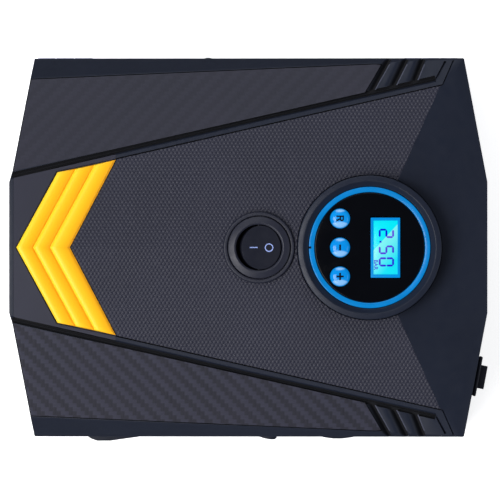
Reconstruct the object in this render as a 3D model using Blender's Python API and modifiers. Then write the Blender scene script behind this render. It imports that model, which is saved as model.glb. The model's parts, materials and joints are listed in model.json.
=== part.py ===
"""Portable 12 V tyre inflator, lying on its back with the control face up.

Frame: origin under the middle of the case on the surface it stands on, +Z up,
+Y to the display end (the top of the display's text), +X to the right of it.
Every sub-part is one named object. Lengths below are in millimetres and are
turned into metres by MM.
"""
import math

import bmesh
import bpy
from mathutils import Matrix, Vector

MM = 0.001
GAP = 0.3                      # clearance between neighbouring parts

# ---- case --------------------------------------------------------------
HALF_W = 70.3                  # half width at the long edges (X)
OUTLINE = [                    # right-hand half of the plan outline, (x, y)
    (24.2, -88.8), (28.4, -87.6), (HALF_W, -79.6),
    (HALF_W, 80.0), (24.3, 88.7),
]
WALL = 3.2
PARTING_Z = 36.0
RIDGE_Z = 74.0                 # height of the folded centre line
RIM_Z = 6.3                    # lower edge of the lower shell
DECK_Z = (22.0, 24.5)          # floor between the stowage bay and the pump
# top faces of the case as z = a + b*y + c*|x|
ROOF = (RIDGE_Z, 0.0, -0.09)
END = (81.85, -0.18, 0.0)
SIDE = (85.3, 0.0517, -0.34)
BEVEL = (159.04, 0.10074, -1.4634)
PANEL_T = 1.8                  # centre panel and side panel thickness

# ---- controls ----------------------------------------------------------
DISPLAY_Y = 44.9
BEZEL_R = 26.75
SWITCH_Y = 3.9
ROCKER_TILT = 8.0              # the rocker rests 8 degrees to its O side
KEY_X = (-10.75, 0.0, 10.75)
KEY_Y = 33.95
KEY_R = 3.7

# ---- pump --------------------------------------------------------------
PUMP_Z = 45.0
MOTOR_X = 30.0
CRANK_X = 10.0
CYL_Y = -15.2
THROW = 7.0
ROD = 30.0

# ---- base --------------------------------------------------------------
FOOT = (54.0, 58.0)
HINGE = (-69.0, 5.2)           # x, z of the base cover's hinge line
HINGE_SPANS = ((-78.8, -58.4), (58.4, 78.1))

for ob in list(bpy.data.objects):
    bpy.data.objects.remove(ob, do_unlink=True)
for me in list(bpy.data.meshes):
    bpy.data.meshes.remove(me)

scene = bpy.context.scene
PARTS = bpy.data.collections.new("tyre_inflator")
CUTTERS = bpy.data.collections.new("cutters")
scene.collection.children.link(PARTS)
scene.collection.children.link(CUTTERS)


# ---- helpers -----------------------------------------------------------
def linear(c):
    c = c / 255.0
    return c / 12.92 if c <= 0.04045 else ((c + 0.055) / 1.055) ** 2.4


def material(name, rgb, roughness=0.5, metallic=0.0):
    m = bpy.data.materials.get(name)
    if m:
        return m
    m = bpy.data.materials.new(name)
    m.use_nodes = True
    b = m.node_tree.nodes["Principled BSDF"]
    b.inputs["Base Color"].default_value = (*[linear(v) for v in rgb], 1)
    b.inputs["Roughness"].default_value = roughness
    b.inputs["Metallic"].default_value = metallic
    return m


BLACK = material("black_abs", (50, 52, 62), 0.55)
DIMPLE = material("dimpled_abs", (60, 60, 72), 0.6)
CARBON = material("carbon_weave", (62, 62, 75), 0.45)
YELLOW = material("yellow_abs", (253, 200, 50), 0.35)
BLUE = material("blue_clear", (12, 130, 205), 0.25)
GLOSS = material("gloss_black", (14, 14, 18), 0.1)
GLASS = material("lcd_cyan", (0, 225, 240), 0.15)
RUBBER = material("rubber", (92, 88, 104), 0.8)
SOFT = material("black_rubber", (30, 30, 34), 0.8)
STEEL = material("steel", (170, 172, 176), 0.35, 1.0)
ALU = material("cast_aluminium", (175, 177, 180), 0.45, 1.0)
BRASS = material("brass", (200, 165, 90), 0.35, 1.0)
NYLON = material("white_nylon", (225, 222, 212), 0.5)
BOARD = material("board_green", (20, 92, 60), 0.45)
LENS = material("clear_lens", (225, 232, 238), 0.08)
MIRROR = material("reflector", (205, 208, 212), 0.15, 1.0)


def obj_from_bm(name, bm, mat=None, coll=None):
    bmesh.ops.recalc_face_normals(bm, faces=bm.faces[:])
    me = bpy.data.meshes.new(name)
    bm.to_mesh(me)
    bm.free()
    ob = bpy.data.objects.new(name, me)
    (coll or CUTTERS).objects.link(ob)
    if mat:
        me.materials.append(mat)
    if (coll or CUTTERS) is CUTTERS:
        ob.hide_render = True
        ob.display_type = "WIRE"
    return ob


def part(ob, name, mat):
    """Make a helper solid a named part with its own material."""
    ob.name = name
    ob.data.name = name
    CUTTERS.objects.unlink(ob)
    PARTS.objects.link(ob)
    ob.hide_render = False
    ob.display_type = "SOLID"
    ob.data.materials.clear()
    ob.data.materials.append(mat)
    return ob


def box(lo, hi, name="box"):
    bm = bmesh.new()
    bmesh.ops.create_cube(bm, size=1.0)
    lo, hi = Vector(lo) * MM, Vector(hi) * MM
    bmesh.ops.scale(bm, vec=hi - lo, verts=bm.verts[:])
    bmesh.ops.translate(bm, vec=(lo + hi) / 2, verts=bm.verts[:])
    return obj_from_bm(name, bm)


def rod(p0, p1, r0, r1=None, seg=24, name="rod"):
    """A cylinder or cone between two points."""
    p0, p1 = Vector(p0) * MM, Vector(p1) * MM
    d = p1 - p0
    bm = bmesh.new()
    bmesh.ops.create_cone(
        bm, cap_ends=True, segments=seg, radius1=r0 * MM,
        radius2=(r0 if r1 is None else r1) * MM, depth=d.length)
    turn = d.to_track_quat("Z", "Y").to_matrix().to_4x4()
    bmesh.ops.transform(
        bm, matrix=Matrix.Translation((p0 + p1) / 2) @ turn, verts=bm.verts[:])
    return obj_from_bm(name, bm)


def evaluated(ob):
    dg = bpy.context.evaluated_depsgraph_get()
    dg.update()
    return bpy.data.meshes.new_from_object(ob.evaluated_get(dg))


def turned(profile, at, axis="Z", seg=40, closed=True, name="turned"):
    """A profile of (radius, height) spun about an axis through `at`."""
    me = bpy.data.meshes.new(name)
    vs = [(r * MM, 0, h * MM) for r, h in profile]
    n = len(vs)
    edges = [(i, i + 1) for i in range(n - 1)] + ([(n - 1, 0)] if closed else [])
    me.from_pydata(vs, edges, [])
    ob = bpy.data.objects.new(name, me)
    CUTTERS.objects.link(ob)
    s = ob.modifiers.new("spin", "SCREW")
    s.axis = "Z"
    s.steps = s.render_steps = seg
    s.use_merge_vertices = True
    s.merge_threshold = 0.00001
    s.use_smooth_shade = True
    out = evaluated(ob)
    bpy.data.objects.remove(ob, do_unlink=True)
    bm = bmesh.new()
    bm.from_mesh(out)
    bmesh.ops.remove_doubles(bm, verts=bm.verts[:], dist=0.000001)
    turn = {"Z": Matrix(), "X": Matrix.Rotation(math.pi / 2, 4, "Y"),
            "Y": Matrix.Rotation(-math.pi / 2, 4, "X")}[axis]
    bmesh.ops.transform(
        bm, matrix=Matrix.Translation(Vector(at) * MM) @ turn, verts=bm.verts[:])
    return obj_from_bm(name, bm)


def prism(points, z0, z1, name="prism"):
    """A flat outline (x, y) extruded from z0 to z1."""
    cu = bpy.data.curves.new(name, "CURVE")
    cu.dimensions = "2D"
    cu.fill_mode = "BOTH"
    cu.extrude = (z1 - z0) / 2 * MM
    sp = cu.splines.new("POLY")
    sp.points.add(len(points) - 1)
    for p, (x, y) in zip(sp.points, points):
        p.co = (x * MM, y * MM, 0, 1)
    sp.use_cyclic_u = True
    tmp = bpy.data.objects.new(name, cu)
    CUTTERS.objects.link(tmp)
    me = evaluated(tmp)
    bpy.data.objects.remove(tmp, do_unlink=True)
    bm = bmesh.new()
    bm.from_mesh(me)
    bmesh.ops.remove_doubles(bm, verts=bm.verts[:], dist=0.000001)
    bmesh.ops.translate(bm, vec=(0, 0, (z0 + z1) / 2 * MM), verts=bm.verts[:])
    return obj_from_bm(name, bm)


def tube(points, r, name, mat, sides=2):
    """A pipe along a polyline, with filled ends."""
    cu = bpy.data.curves.new(name, "CURVE")
    cu.dimensions = "3D"
    cu.bevel_depth = r * MM
    cu.bevel_resolution = sides
    cu.use_fill_caps = True
    sp = cu.splines.new("POLY")
    sp.points.add(len(points) - 1)
    for p, co in zip(sp.points, points):
        p.co = (co[0] * MM, co[1] * MM, co[2] * MM, 1)
    tmp = bpy.data.objects.new(name, cu)
    CUTTERS.objects.link(tmp)
    me = evaluated(tmp)
    bpy.data.objects.remove(tmp, do_unlink=True)
    bm = bmesh.new()
    bm.from_mesh(me)
    bmesh.ops.remove_doubles(bm, verts=bm.verts[:], dist=0.000001)
    return part(obj_from_bm(name, bm), name, mat)


def bezier(p0, p1, p2, p3, n=14):
    out = []
    for i in range(n + 1):
        t = i / n
        w = ((1 - t) ** 3, 3 * t * (1 - t) ** 2, 3 * t * t * (1 - t), t ** 3)
        out.append(tuple(sum(k * p[a] for k, p in zip(w, (p0, p1, p2, p3)))
                         for a in range(3)))
    return out


def combine(ob, other, operation, solver):
    m = ob.modifiers.new(operation.lower(), "BOOLEAN")
    m.operation = operation
    m.object = other
    m.solver = solver
    return ob


def cut(ob, *others, solver="EXACT"):
    for o in others:
        combine(ob, o, "DIFFERENCE", solver)
    return ob


def join(ob, *others, solver="EXACT"):
    for o in others:
        combine(ob, o, "UNION", solver)
    return ob


def apply(ob):
    """Bake an object's modifiers into its mesh."""
    me = evaluated(ob)
    old = ob.data
    ob.modifiers.clear()
    ob.data = me
    me.name = old.name
    return ob


def inset(points, d):
    """Move every side of a convex outline inward by d."""
    n = len(points)
    area = sum(points[i][0] * points[(i + 1) % n][1]
               - points[(i + 1) % n][0] * points[i][1] for i in range(n))
    s = 1 if area > 0 else -1
    lines = []
    for i in range(n):
        (x0, y0), (x1, y1) = points[i], points[(i + 1) % n]
        l = math.hypot(x1 - x0, y1 - y0)
        nx, ny = -(y1 - y0) / l * s, (x1 - x0) / l * s
        lines.append((nx, ny, nx * x0 + ny * y0 + d))
    out = []
    for i in range(n):
        a, b = lines[i - 1], lines[i]
        det = a[0] * b[1] - a[1] * b[0]
        out.append(((a[2] * b[1] - a[1] * b[2]) / det,
                    (a[0] * b[2] - a[2] * b[0]) / det))
    return out


def full_outline(d=0.0):
    left = [(-x, y) for x, y in reversed(OUTLINE)]
    return inset(OUTLINE + left, d)


def slice_top(ob, planes, d=0.0):
    """Cut a solid along the top faces, moved down by d, and close it."""
    bm = bmesh.new()
    bm.from_mesh(ob.data)
    for a, b, c in planes:
        for s in ((1, -1) if c else (1,)):
            n = Vector((-c * s, -b, 1)).normalized()
            p = Vector((0, 0, a * MM)) - n * d * MM
            cutres = bmesh.ops.bisect_plane(
                bm, geom=bm.verts[:] + bm.edges[:] + bm.faces[:], dist=1e-7,
                plane_co=p, plane_no=n, clear_outer=True)
            rim = [e for e in cutres["geom_cut"]
                   if isinstance(e, bmesh.types.BMEdge) and e.is_boundary]
            if rim:
                bmesh.ops.contextual_create(bm, geom=rim)
    bmesh.ops.dissolve_degenerate(bm, dist=1e-7, edges=bm.edges[:])
    bmesh.ops.recalc_face_normals(bm, faces=bm.faces[:])
    bm.to_mesh(ob.data)
    bm.free()
    return ob


def convex_prism(points, z0, z1, name="block"):
    """An extruded convex outline with single-face caps."""
    bm = bmesh.new()
    face = bm.faces.new([bm.verts.new((x * MM, y * MM, z0 * MM)) for x, y in points])
    up = bmesh.ops.extrude_face_region(bm, geom=[face])
    bmesh.ops.translate(
        bm, vec=(0, 0, (z1 - z0) * MM),
        verts=[v for v in up["geom"] if isinstance(v, bmesh.types.BMVert)])
    return obj_from_bm(name, bm)


def case_block(d, z0, planes_d, top=90.0):
    """The faceted case envelope, inset by d, its top faces lowered by planes_d."""
    return slice_top(convex_prism(full_outline(d), z0, top),
                     (ROOF, END, SIDE, BEVEL), planes_d)


def mirror_x(points):
    return [(-x, y) for x, y in reversed(points)]


def smooth(ob, angle=35):
    ob.data.shade_smooth()
    ob.data.set_sharp_from_angle(angle=math.radians(angle))
    return ob


def roof_z(x):
    return RIDGE_Z + ROOF[2] * abs(x)


def place(ob, matrix):
    ob.data.transform(matrix)
    ob.data.update()
    return ob


# ---- plan outlines of the inlaid panels --------------------------------
CENTRE = [(26.9, -86.9), (59.4, 70.6), (0.0, 43.3), (-59.4, 70.6), (-26.9, -86.9)]
CENTRE_GROWN = [(27.25, -87.2), (59.75, 71.2), (0.0, 44.0), (-59.75, 71.2),
                (-27.25, -87.2)]
SIDE_PANEL = [(28.9, -86.3), (61.6, -80.0), (67.2, 46.9), (67.0, 49.1),
              (57.3, 43.2), (48.1, 0.6)]
SIDE_PANEL_GROWN = inset(SIDE_PANEL, -GAP)

# ---- upper shell -------------------------------------------------------
upper = part(case_block(0.0, PARTING_Z, 0.0), "upper_shell", BLACK)
cut(upper, case_block(WALL, PARTING_Z - 1, WALL))
centre_cutter = cut(prism(CENTRE_GROWN, 50, 90), slice_top(
    convex_prism([(80, -100), (80, 100), (-80, 100), (-80, -100)], 40, 90),
    (ROOF,), PANEL_T + GAP))
cut(upper, apply(centre_cutter))
for s in (1, -1):
    pts = SIDE_PANEL_GROWN if s > 0 else mirror_x(SIDE_PANEL_GROWN)
    pocket = cut(prism(pts, 40, 90), slice_top(
        convex_prism([(90, -100), (90, 100), (-90, 100), (-90, -100)], 20, 90),
        (SIDE,), PANEL_T + GAP))
    cut(upper, apply(pocket))
# screw bosses under the roof
for sx in (1, -1):
    for sy in (1, -1):
        x, y = FOOT[0] * sx, FOOT[1] * sy
        top = SIDE[0] + SIDE[1] * y + SIDE[2] * (abs(x) + 3) - WALL + 0.6
        join(upper, rod((x, y, DECK_Z[1] + GAP), (x, y, top), 3.6, seg=16))
        cut(upper, rod((x, y, DECK_Z[1] - 1), (x, y, PARTING_Z), 1.7, seg=12))
cut(upper,
    rod((0, DISPLAY_Y, 40), (0, DISPLAY_Y, 90), BEZEL_R + GAP, seg=40),
    rod((0, SWITCH_Y, 60), (0, SWITCH_Y, 90), 10.2, seg=32))


# louvres: three ramps a side, each dropping away from a crisp edge
def louvre(y_in, y_out, s):
    """A wedge groove along the line from the rail to the outer edge."""
    def surf(x, y):
        return min(SIDE[0] + SIDE[1] * y + SIDE[2] * x,
                   BEVEL[0] + BEVEL[1] * y + BEVEL[2] * x)
    a = Vector((57.6, y_in, 0))
    b = Vector((72.5, y_in + (y_out - y_in) * (72.5 - 57.6) / (68.3 - 57.6), 0))
    bm = bmesh.new()
    rings = []
    for p, depth in ((a, 1.6), (b, 2.4)):
        z = SIDE[0] + SIDE[1] * p.y + SIDE[2] * p.x
        ring = [(p.x, p.y, z + 6), (p.x, p.y, z - depth),
                (p.x, p.y - 3.6, z - 0.15), (p.x, p.y - 3.6, z + 6)]
        rings.append([bm.verts.new((x * s * MM, y * MM, zz * MM)) for x, y, zz in ring])
    r0, r1 = rings
    bm.faces.new(r0)
    bm.faces.new(list(reversed(r1)))
    for i in range(4):
        j = (i + 1) % 4
        bm.faces.new([r0[i], r1[i], r1[j], r0[j]])
    return obj_from_bm("louvre", bm)


for s in (1, -1):
    for y_in, y_out in ((46.3, 52.3), (53.4, 58.8), (60.8, 65.2)):
        cut(upper, louvre(y_in, y_out, s))
# openings in the end wall: the lamp and its switch
cut(upper, box((-17.0, 80, 46.0), (17.0, 95, 60.0)))
WALL_DIR = Vector((HALF_W - 24.3, 80.0 - 88.7, 0)).normalized()
WALL_N = Vector((-WALL_DIR.y, WALL_DIR.x, 0))
LAMP_SW = Vector((47.7, 88.7 + (47.7 - 24.3) * (80.0 - 88.7) / (HALF_W - 24.3), 50.4))
LAMP_FRAME = Matrix((
    (WALL_DIR.x, WALL_N.x, 0, LAMP_SW.x * MM),
    (WALL_DIR.y, WALL_N.y, 0, LAMP_SW.y * MM),
    (0, 0, 1, LAMP_SW.z * MM),
    (0, 0, 0, 1)))
cut(upper, place(box((-6.6, -8, -9.5), (6.6, 4, 9.5)), LAMP_FRAME))

# ---- centre panel ------------------------------------------------------
panel = slice_top(prism(CENTRE, 60, 90), ())
centre = cut(prism(CENTRE, 60, 90), slice_top(
    convex_prism([(80, -100), (80, 100), (-80, 100), (-80, -100)], 40, 95),
    (ROOF,), PANEL_T))
over = box((-90, -100, 60), (90, 100, 120), "over")
over = cut(over, slice_top(
    convex_prism([(85, -99), (85, 99), (-85, 99), (-85, -99)], 40, 95), (ROOF,), 0))
bpy.data.objects.remove(panel, do_unlink=True)
centre = part(cut(centre, apply(over)), "centre_panel", DIMPLE)
join(centre, rod((0, SWITCH_Y, RIDGE_Z - 1.0), (0, SWITCH_Y, RIDGE_Z + 0.9), 13.35,
                 12.95, seg=32))
cut(centre, rod((0, SWITCH_Y, 60), (0, SWITCH_Y, 90), 10.2, seg=32),
    rod((0, SWITCH_Y, RIDGE_Z + 0.1), (0, SWITCH_Y, 90), 11.8, seg=32),
    rod((0, DISPLAY_Y, 40), (0, DISPLAY_Y, 90), BEZEL_R + GAP, seg=40))

# ---- chevron trim: three rounded ribs in a V, one moulding --------------
RIB_Y0 = (-86.1, -79.8, -73.6, -66.3)         # at the tip, x = 0
RIB_Y1 = (-70.9, -64.1, -57.0, -49.3)         # at the arm's end
RIB_X1 = (27.9, 29.1, 30.6, 32.5)
RIB_SHAPE = ((0.0, -0.1), (0.14, 0.75), (0.4, 1.15), (0.72, 0.95), (0.95, -0.1))
CHEVRON_BASE = 1.0


def chevron_section(end):
    ys, out = (RIB_Y1 if end else RIB_Y0), []
    for k in range(3):
        for f, h in RIB_SHAPE:
            y = ys[k] + (ys[k + 1] - ys[k]) * f
            x = RIB_X1[k] + (RIB_X1[k + 1] - RIB_X1[k]) * f if end else 0.0
            out.append((x, y, roof_z(x) + h))
    out.append((RIB_X1[3] if end else 0.0, ys[3], roof_z(RIB_X1[3] if end else 0) - 0.1))
    return out


bm = bmesh.new()
sections = []
for end in (0, 1):
    top = chevron_section(end)
    first, last = top[0], top[-1]
    ring = top + [(last[0], last[1], roof_z(last[0]) - CHEVRON_BASE),
                  (first[0], first[1], roof_z(first[0]) - CHEVRON_BASE)]
    sections.append([bm.verts.new(Vector(p) * MM) for p in ring])
r0, r1 = sections
for i in range(len(r0)):
    j = (i + 1) % len(r0)
    bm.faces.new([r0[i], r0[j], r1[j], r1[i]])
bm.faces.new(list(reversed(r1)))
chevron = part(obj_from_bm("chevron_trim", bm), "chevron_trim", YELLOW)
m = chevron.modifiers.new("mirror", "MIRROR")
m.use_axis = (True, False, False)
m.merge_threshold = 0.00001
V_GROWN = [(0, RIB_Y0[0] - 0.4), (28.3, -71.2), (33.0, -49.2), (32.6, -48.8),
           (0, RIB_Y0[3] + 0.4), (-32.6, -48.8), (-33.0, -49.2), (-28.3, -71.2)]
slot = cut(prism(V_GROWN, 60, 90), slice_top(
    convex_prism([(80, -100), (80, 100), (-80, 100), (-80, -100)], 40, 95),
    (ROOF,), CHEVRON_BASE + GAP))
cut(centre, apply(slot))

# ---- side panels -------------------------------------------------------
for s, name in ((1, "side_panel_right"), (-1, "side_panel_left")):
    pts = SIDE_PANEL if s > 0 else mirror_x(SIDE_PANEL)
    p = slice_top(convex_prism(pts, 30, 90), (SIDE,), 0.0)
    cut(p, slice_top(
        convex_prism([(90, -100), (90, 100), (-90, 100), (-90, -100)], 20, 90),
        (SIDE,), PANEL_T))
    part(p, name, CARBON)

# ---- lower shell: walls, deck, alcove over the plug, foot columns --------
lower = part(convex_prism(full_outline(0.4), RIM_Z, PARTING_Z - GAP), "lower_shell", BLACK)
cut(lower, convex_prism(full_outline(WALL), DECK_Z[1], PARTING_Z + 1),
    convex_prism(full_outline(WALL), RIM_Z - 1, DECK_Z[0]))
lip = convex_prism(full_outline(WALL - 0.3), PARTING_Z - 3, PARTING_Z + 2)
apply(cut(lip, convex_prism(full_outline(WALL + 1.6), PARTING_Z - 4, PARTING_Z + 3)))
lip_top = cut(convex_prism(full_outline(WALL + GAP), PARTING_Z - 1.5, PARTING_Z + 2),
              convex_prism(full_outline(WALL + 1.9), PARTING_Z - 2, PARTING_Z + 3))
lip_seat = cut(convex_prism(full_outline(1.5), PARTING_Z - 4, PARTING_Z - 1.0),
               convex_prism(full_outline(WALL + 1.9), PARTING_Z - 5, PARTING_Z + 3))
bpy.data.objects.remove(lip, do_unlink=True)
join(lower, apply(lip_seat), apply(lip_top))
join(lower, box((-44.5, 16.0, DECK_Z[0] + 0.5), (44.5, 76.5, 40.5)))
cut(lower, box((-42.0, 18.5, DECK_Z[0] - 1), (42.0, 74.0, 38.0)))
for sx in (1, -1):
    for sy in (1, -1):
        x, y = FOOT[0] * sx, FOOT[1] * sy
        join(lower, rod((x, y, 3.3), (x, y, DECK_Z[0] + 0.6), 7.0, seg=16))
        cut(lower, rod((x, y, 3.0), (x, y, 18.0), 3.7, seg=16),
            rod((x, y, 17.0), (x, y, 26.0), 1.7, seg=12))
# grip bulges on the right wall
for pts in ([(69.5, -61.0), (71.2, -59.0), (72.1, -56.5), (72.1, -51.7), (71.3, -46.0),
             (70.6, -41.0), (69.5, -37.7)],
            [(69.5, 25.4), (70.8, 28.0), (71.3, 31.5), (71.3, 35.0), (70.8, 38.8),
             (69.5, 41.4)]):
    join(lower, prism(pts, 12.0, 30.0))
join(lower, prism([(-69.5, -16.6), (-70.8, -16.0), (-70.8, -14.0), (-69.5, -13.4)],
                  20.0, 30.0))
# holes in the deck for the hose union and the cord gland
cut(lower, rod((-55, -15, 20), (-55, -15, 27), 5.3, seg=20),
    rod((-55, 8, 20), (-55, 8, 27), 5.3, seg=20))
# slot for the cover latch's neck
cut(lower, box((64.0, -2.0, 6.7), (74.0, 9.2, 10.4)))
# hinge: pockets for the cover's knuckles, and the shell's own knuckle
HX, HZ = HINGE
KNUCKLES = []
for y0, y1 in HINGE_SPANS:
    third = (y1 - y0 - 2 * GAP) / 3
    mid = (y0 + third + GAP, y1 - third - GAP)
    KNUCKLES.append(((y0, y0 + third), mid, (y1 - third, y1)))
for (a, b, c) in KNUCKLES:
    cut(lower, box((-75, a[0] - GAP, 0), (HX + 2.9, c[1] + GAP, HZ + 2.9)),
        solver="MANIFOLD")
    join(lower, box((HX - 1.4, b[0], HZ), (HX + 1.8, b[1], HZ + 4.0)),
         rod((HX, b[0], HZ), (HX, b[1], HZ), 2.0, seg=12), solver="MANIFOLD")
    cut(lower, rod((HX, a[0] - 3, HZ), (HX, c[1] + 3, HZ), 1.1, seg=10),
        solver="MANIFOLD")

# ---- base cover ----------------------------------------------------------
outline = full_outline(1.0)
outline = [(max(x, HX + 3.2), y) for x, y in outline]
cover = part(convex_prism(outline, 3.4, 6.0), "base_cover", BLACK)
for sx in (1, -1):
    for sy in (1, -1):
        cut(cover, rod((FOOT[0] * sx, FOOT[1] * sy, 2), (FOOT[0] * sx, FOOT[1] * sy, 7),
                       8.7, seg=16))
for (a, b, c) in KNUCKLES:
    for k in (a, c):
        join(cover, box((HX + 0.2, k[0], 3.4), (HX + 5, k[1], 5.6)),
             rod((HX, k[0], HZ), (HX, k[1], HZ), 2.0, seg=12))
    cut(cover, rod((HX, a[0] - 3, HZ), (HX, c[1] + 3, HZ), 1.1, seg=10))
join(cover, box((57.5, 4.2, 5.5), (59.5, 9.0, 12.6)), box((59.0, 4.2, 10.6), (64.5, 9.0, 12.6)))
for x in (-30, 0, 30):
    join(cover, box((x - 0.8, -60, 5.5), (x + 0.8, 12, 7.0)))
for i, (a, b, c) in enumerate(KNUCKLES):
    smooth(part(rod((HX, a[0] + 0.3, HZ), (HX, c[1] - 0.3, HZ), 0.8, seg=12),
                f"hinge_pin_{i + 1}", STEEL))
# sliding latch on the right wall
latch = prism([(70.6, 3.9), (71.3, 5.4), (71.8, 8.2), (71.8, 9.6), (71.3, 10.5),
               (70.6, 10.6)], 4.6, 13.0)
part(latch, "cover_latch", BLACK)
join(latch, box((65.5, 4.2, 7.0), (70.9, 8.6, 10.1)), box((60.6, 4.2, 7.6), (66.0, 8.6, 10.1)))

# ---- feet and case screws ----------------------------------------------
k = 0
for sx in (1, -1):
    for sy in (1, -1):
        k += 1
        x, y = FOOT[0] * sx, FOOT[1] * sy
        smooth(part(turned([(0, 8.0), (3.3, 8.0), (3.3, 3.0), (7.0, 3.0),
                            (6.3, 0.0), (0, 0.0)], (x, y, 0), seg=20,
                           closed=False), f"foot_{k}", RUBBER))
        smooth(part(turned([(0, 34.0), (1.4, 34.0), (1.4, 17.7), (3.2, 17.7), (3.2, 15.4),
                            (0, 15.4)], (x, y, 0), seg=10, closed=False),
                    f"case_screw_{k}", STEEL))

# ---- display -------------------------------------------------------------
D = (0, DISPLAY_Y, 0)
smooth(part(turned([(25.6, 77.5), (26.75, 76.2), (26.75, 64.5), (29.0, 64.5), (29.0, 62.5),
                    (23.2, 62.5), (23.2, 72.2), (19.6, 72.2), (19.6, 73.6), (22.8, 73.6),
                    (22.8, 75.9), (24.3, 77.5)], D, seg=40), "display_bezel", BLACK))
smooth(part(turned([(22.5, 76.2), (22.5, 73.9), (20.55, 73.9), (20.55, 76.2)], D, seg=40), "light_ring", BLUE))
lens = smooth(part(turned([(0, 75.8), (20.2, 75.8), (20.2, 73.9), (0, 73.9)],
                          D, seg=40, closed=False), "display_lens", GLOSS))
cut(lens, box((-11.6, 45.0, 70), (11.6, 56.6, 80)))
for x, name in zip(KEY_X, ("key_r", "key_minus", "key_plus")):
    cut(lens, rod((x, KEY_Y, 70), (x, KEY_Y, 80), KEY_R + 0.35, seg=20))
    smooth(part(turned([(0, 77.0), (2.4, 76.65), (3.7, 75.7), (3.7, 71.8),
                        (1.5, 71.8), (1.5, 68.9), (0, 68.9)], (x, KEY_Y, 0), seg=20,
                       closed=False), name, BLUE))
frame = part(box((-11.2, 45.35, 70.5), (11.2, 56.25, 76.0)), "lcd_frame", BLUE)
cut(frame, box((-10.0, 46.3, 70), (10.0, 55.3, 77)))
part(box((-9.7, 46.6, 73.6), (9.7, 55.0, 75.5)), "lcd_glass", GLASS)
part(box((-11.2, 45.35, 67.2), (11.2, 56.25, 70.2)), "lcd_module", NYLON)
board = part(rod((0, DISPLAY_Y, 65.0), (0, DISPLAY_Y, 66.6), 22.7, seg=28),
             "display_board", BOARD)
for x in KEY_X:
    join(board, box((x - 3, KEY_Y - 3, 66.2), (x + 3, KEY_Y + 3, 67.6)),
         rod((x, KEY_Y, 67.3), (x, KEY_Y, 68.3), 1.6, seg=12))
sensor = part(box((-14, 39.5, 58.5), (-6, 48.5, 64.7)), "pressure_sensor", GLOSS)
join(sensor, rod((-10, 44, 59), (-10, 44, 54.5), 1.5, seg=14))

# ---- round power switch ------------------------------------------------
S = (0, SWITCH_Y, 0)
body = smooth(part(turned([(0, 64.9), (8.5, 64.9), (8.5, 76.6), (10.8, 76.6),
                           (11.5, 75.6), (11.5, 74.4), (9.9, 74.4), (9.9, 62.6), (0, 62.6)],
                          S, seg=32, closed=False), "power_switch_body", BLACK))
for x in (-3, 3):
    join(body, box((x - 0.4, SWITCH_Y - 2.2, 55.0), (x + 0.4, SWITCH_Y + 2.2, 63.2)))
PIVOT_Z = 71.0
cut(body, rod((-9.6, SWITCH_Y, PIVOT_Z), (9.6, SWITCH_Y, PIVOT_Z), 1.2, seg=14))


def rocker_solid(profile_top, half_y, half_x, low, round_end, pin_r, pin_x):
    """A rocker about the local X axis, its two top faces rising outward."""
    if round_end:
        ob = rod((0, 0, low), (0, 0, 12), half_x, seg=40)
        place(ob, Matrix.Diagonal((1, half_y / half_x, 1, 1)))
    else:
        ob = box((-half_x, -half_y, low), (half_x, half_y, 12))
    top, rise = profile_top
    wedge = prism([(0, top), (half_y + 2, top + (half_y + 2) * rise), (half_y + 2, 20),
                   (-half_y - 2, 20), (-half_y - 2, top + (half_y + 2) * rise)], -20, 20)
    place(wedge, Matrix(((0, 0, 1, 0), (1, 0, 0, 0), (0, 1, 0, 0), (0, 0, 0, 1))))
    cut(ob, wedge)
    join(ob, rod((-pin_x, 0, 0), (pin_x, 0, 0), pin_r, seg=14))
    return apply(ob)


RISE = math.tan(math.radians(ROCKER_TILT))
rocker = part(rocker_solid((4.9, RISE), 7.3, 8.1, -4.5, True, 0.9, 9.2),
              "power_rocker", GLOSS)
place(rocker, Matrix.Rotation(math.radians(-ROCKER_TILT), 4, "X"))
rocker.location = (0, SWITCH_Y * MM, PIVOT_Z * MM)

# ---- lamp switch, in the slanted end wall's frame ------------------------
lamp_body = box((-7.5, 0.3, -10.5), (7.5, 1.5, 10.5))
join(lamp_body, box((-6.3, -15, -9.2), (6.3, 0.6, 9.2)))
cut(lamp_body, box((-4.75, -9, -8.1), (4.75, 4, 8.1)),
    rod((-5.9, -2.0, 0), (5.9, -2.0, 0), 1.1, seg=12))
part(place(apply(lamp_body), LAMP_FRAME), "lamp_switch_body", GLOSS)
lamp_rocker = rocker_solid((4.35, math.tan(math.radians(7))), 7.2, 4.35, -4.0, False, 0.8, 5.6)
# local rocker: X pin axis stays, +Z outward becomes the wall normal
to_wall = Matrix(((1, 0, 0, 0), (0, 0, 1, 0), (0, -1, 0, 0), (0, 0, 0, 1)))
part(lamp_rocker, "lamp_rocker", GLOSS)
place(lamp_rocker, Matrix.Rotation(math.radians(-7), 4, "X"))
place(lamp_rocker, to_wall)
lamp_rocker.matrix_world = LAMP_FRAME @ Matrix.Translation((0, -2.0 * MM, 0))

# ---- work lamp -----------------------------------------------------------
part(box((-16.7, 86.3, 46.3), (16.7, 88.5, 59.7)), "lamp_lens", LENS)
refl = part(box((-19, 76, 44.5), (19, 85.2, 61.5)), "lamp_reflector", MIRROR)
cut(refl, box((-15.5, 78.5, 47.2), (15.5, 90, 58.8)))
lamp_board = part(box((-16, 73.6, 46), (16, 75.4, 60)), "lamp_board", BOARD)
for x in (-10, 0, 10):
    cut(refl, rod((x, 75, 53), (x, 80, 53), 2.4, seg=14))
    join(lamp_board, rod((x, 75, 53), (x, 80.5, 53), 2.0, 1.2, seg=14))

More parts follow.
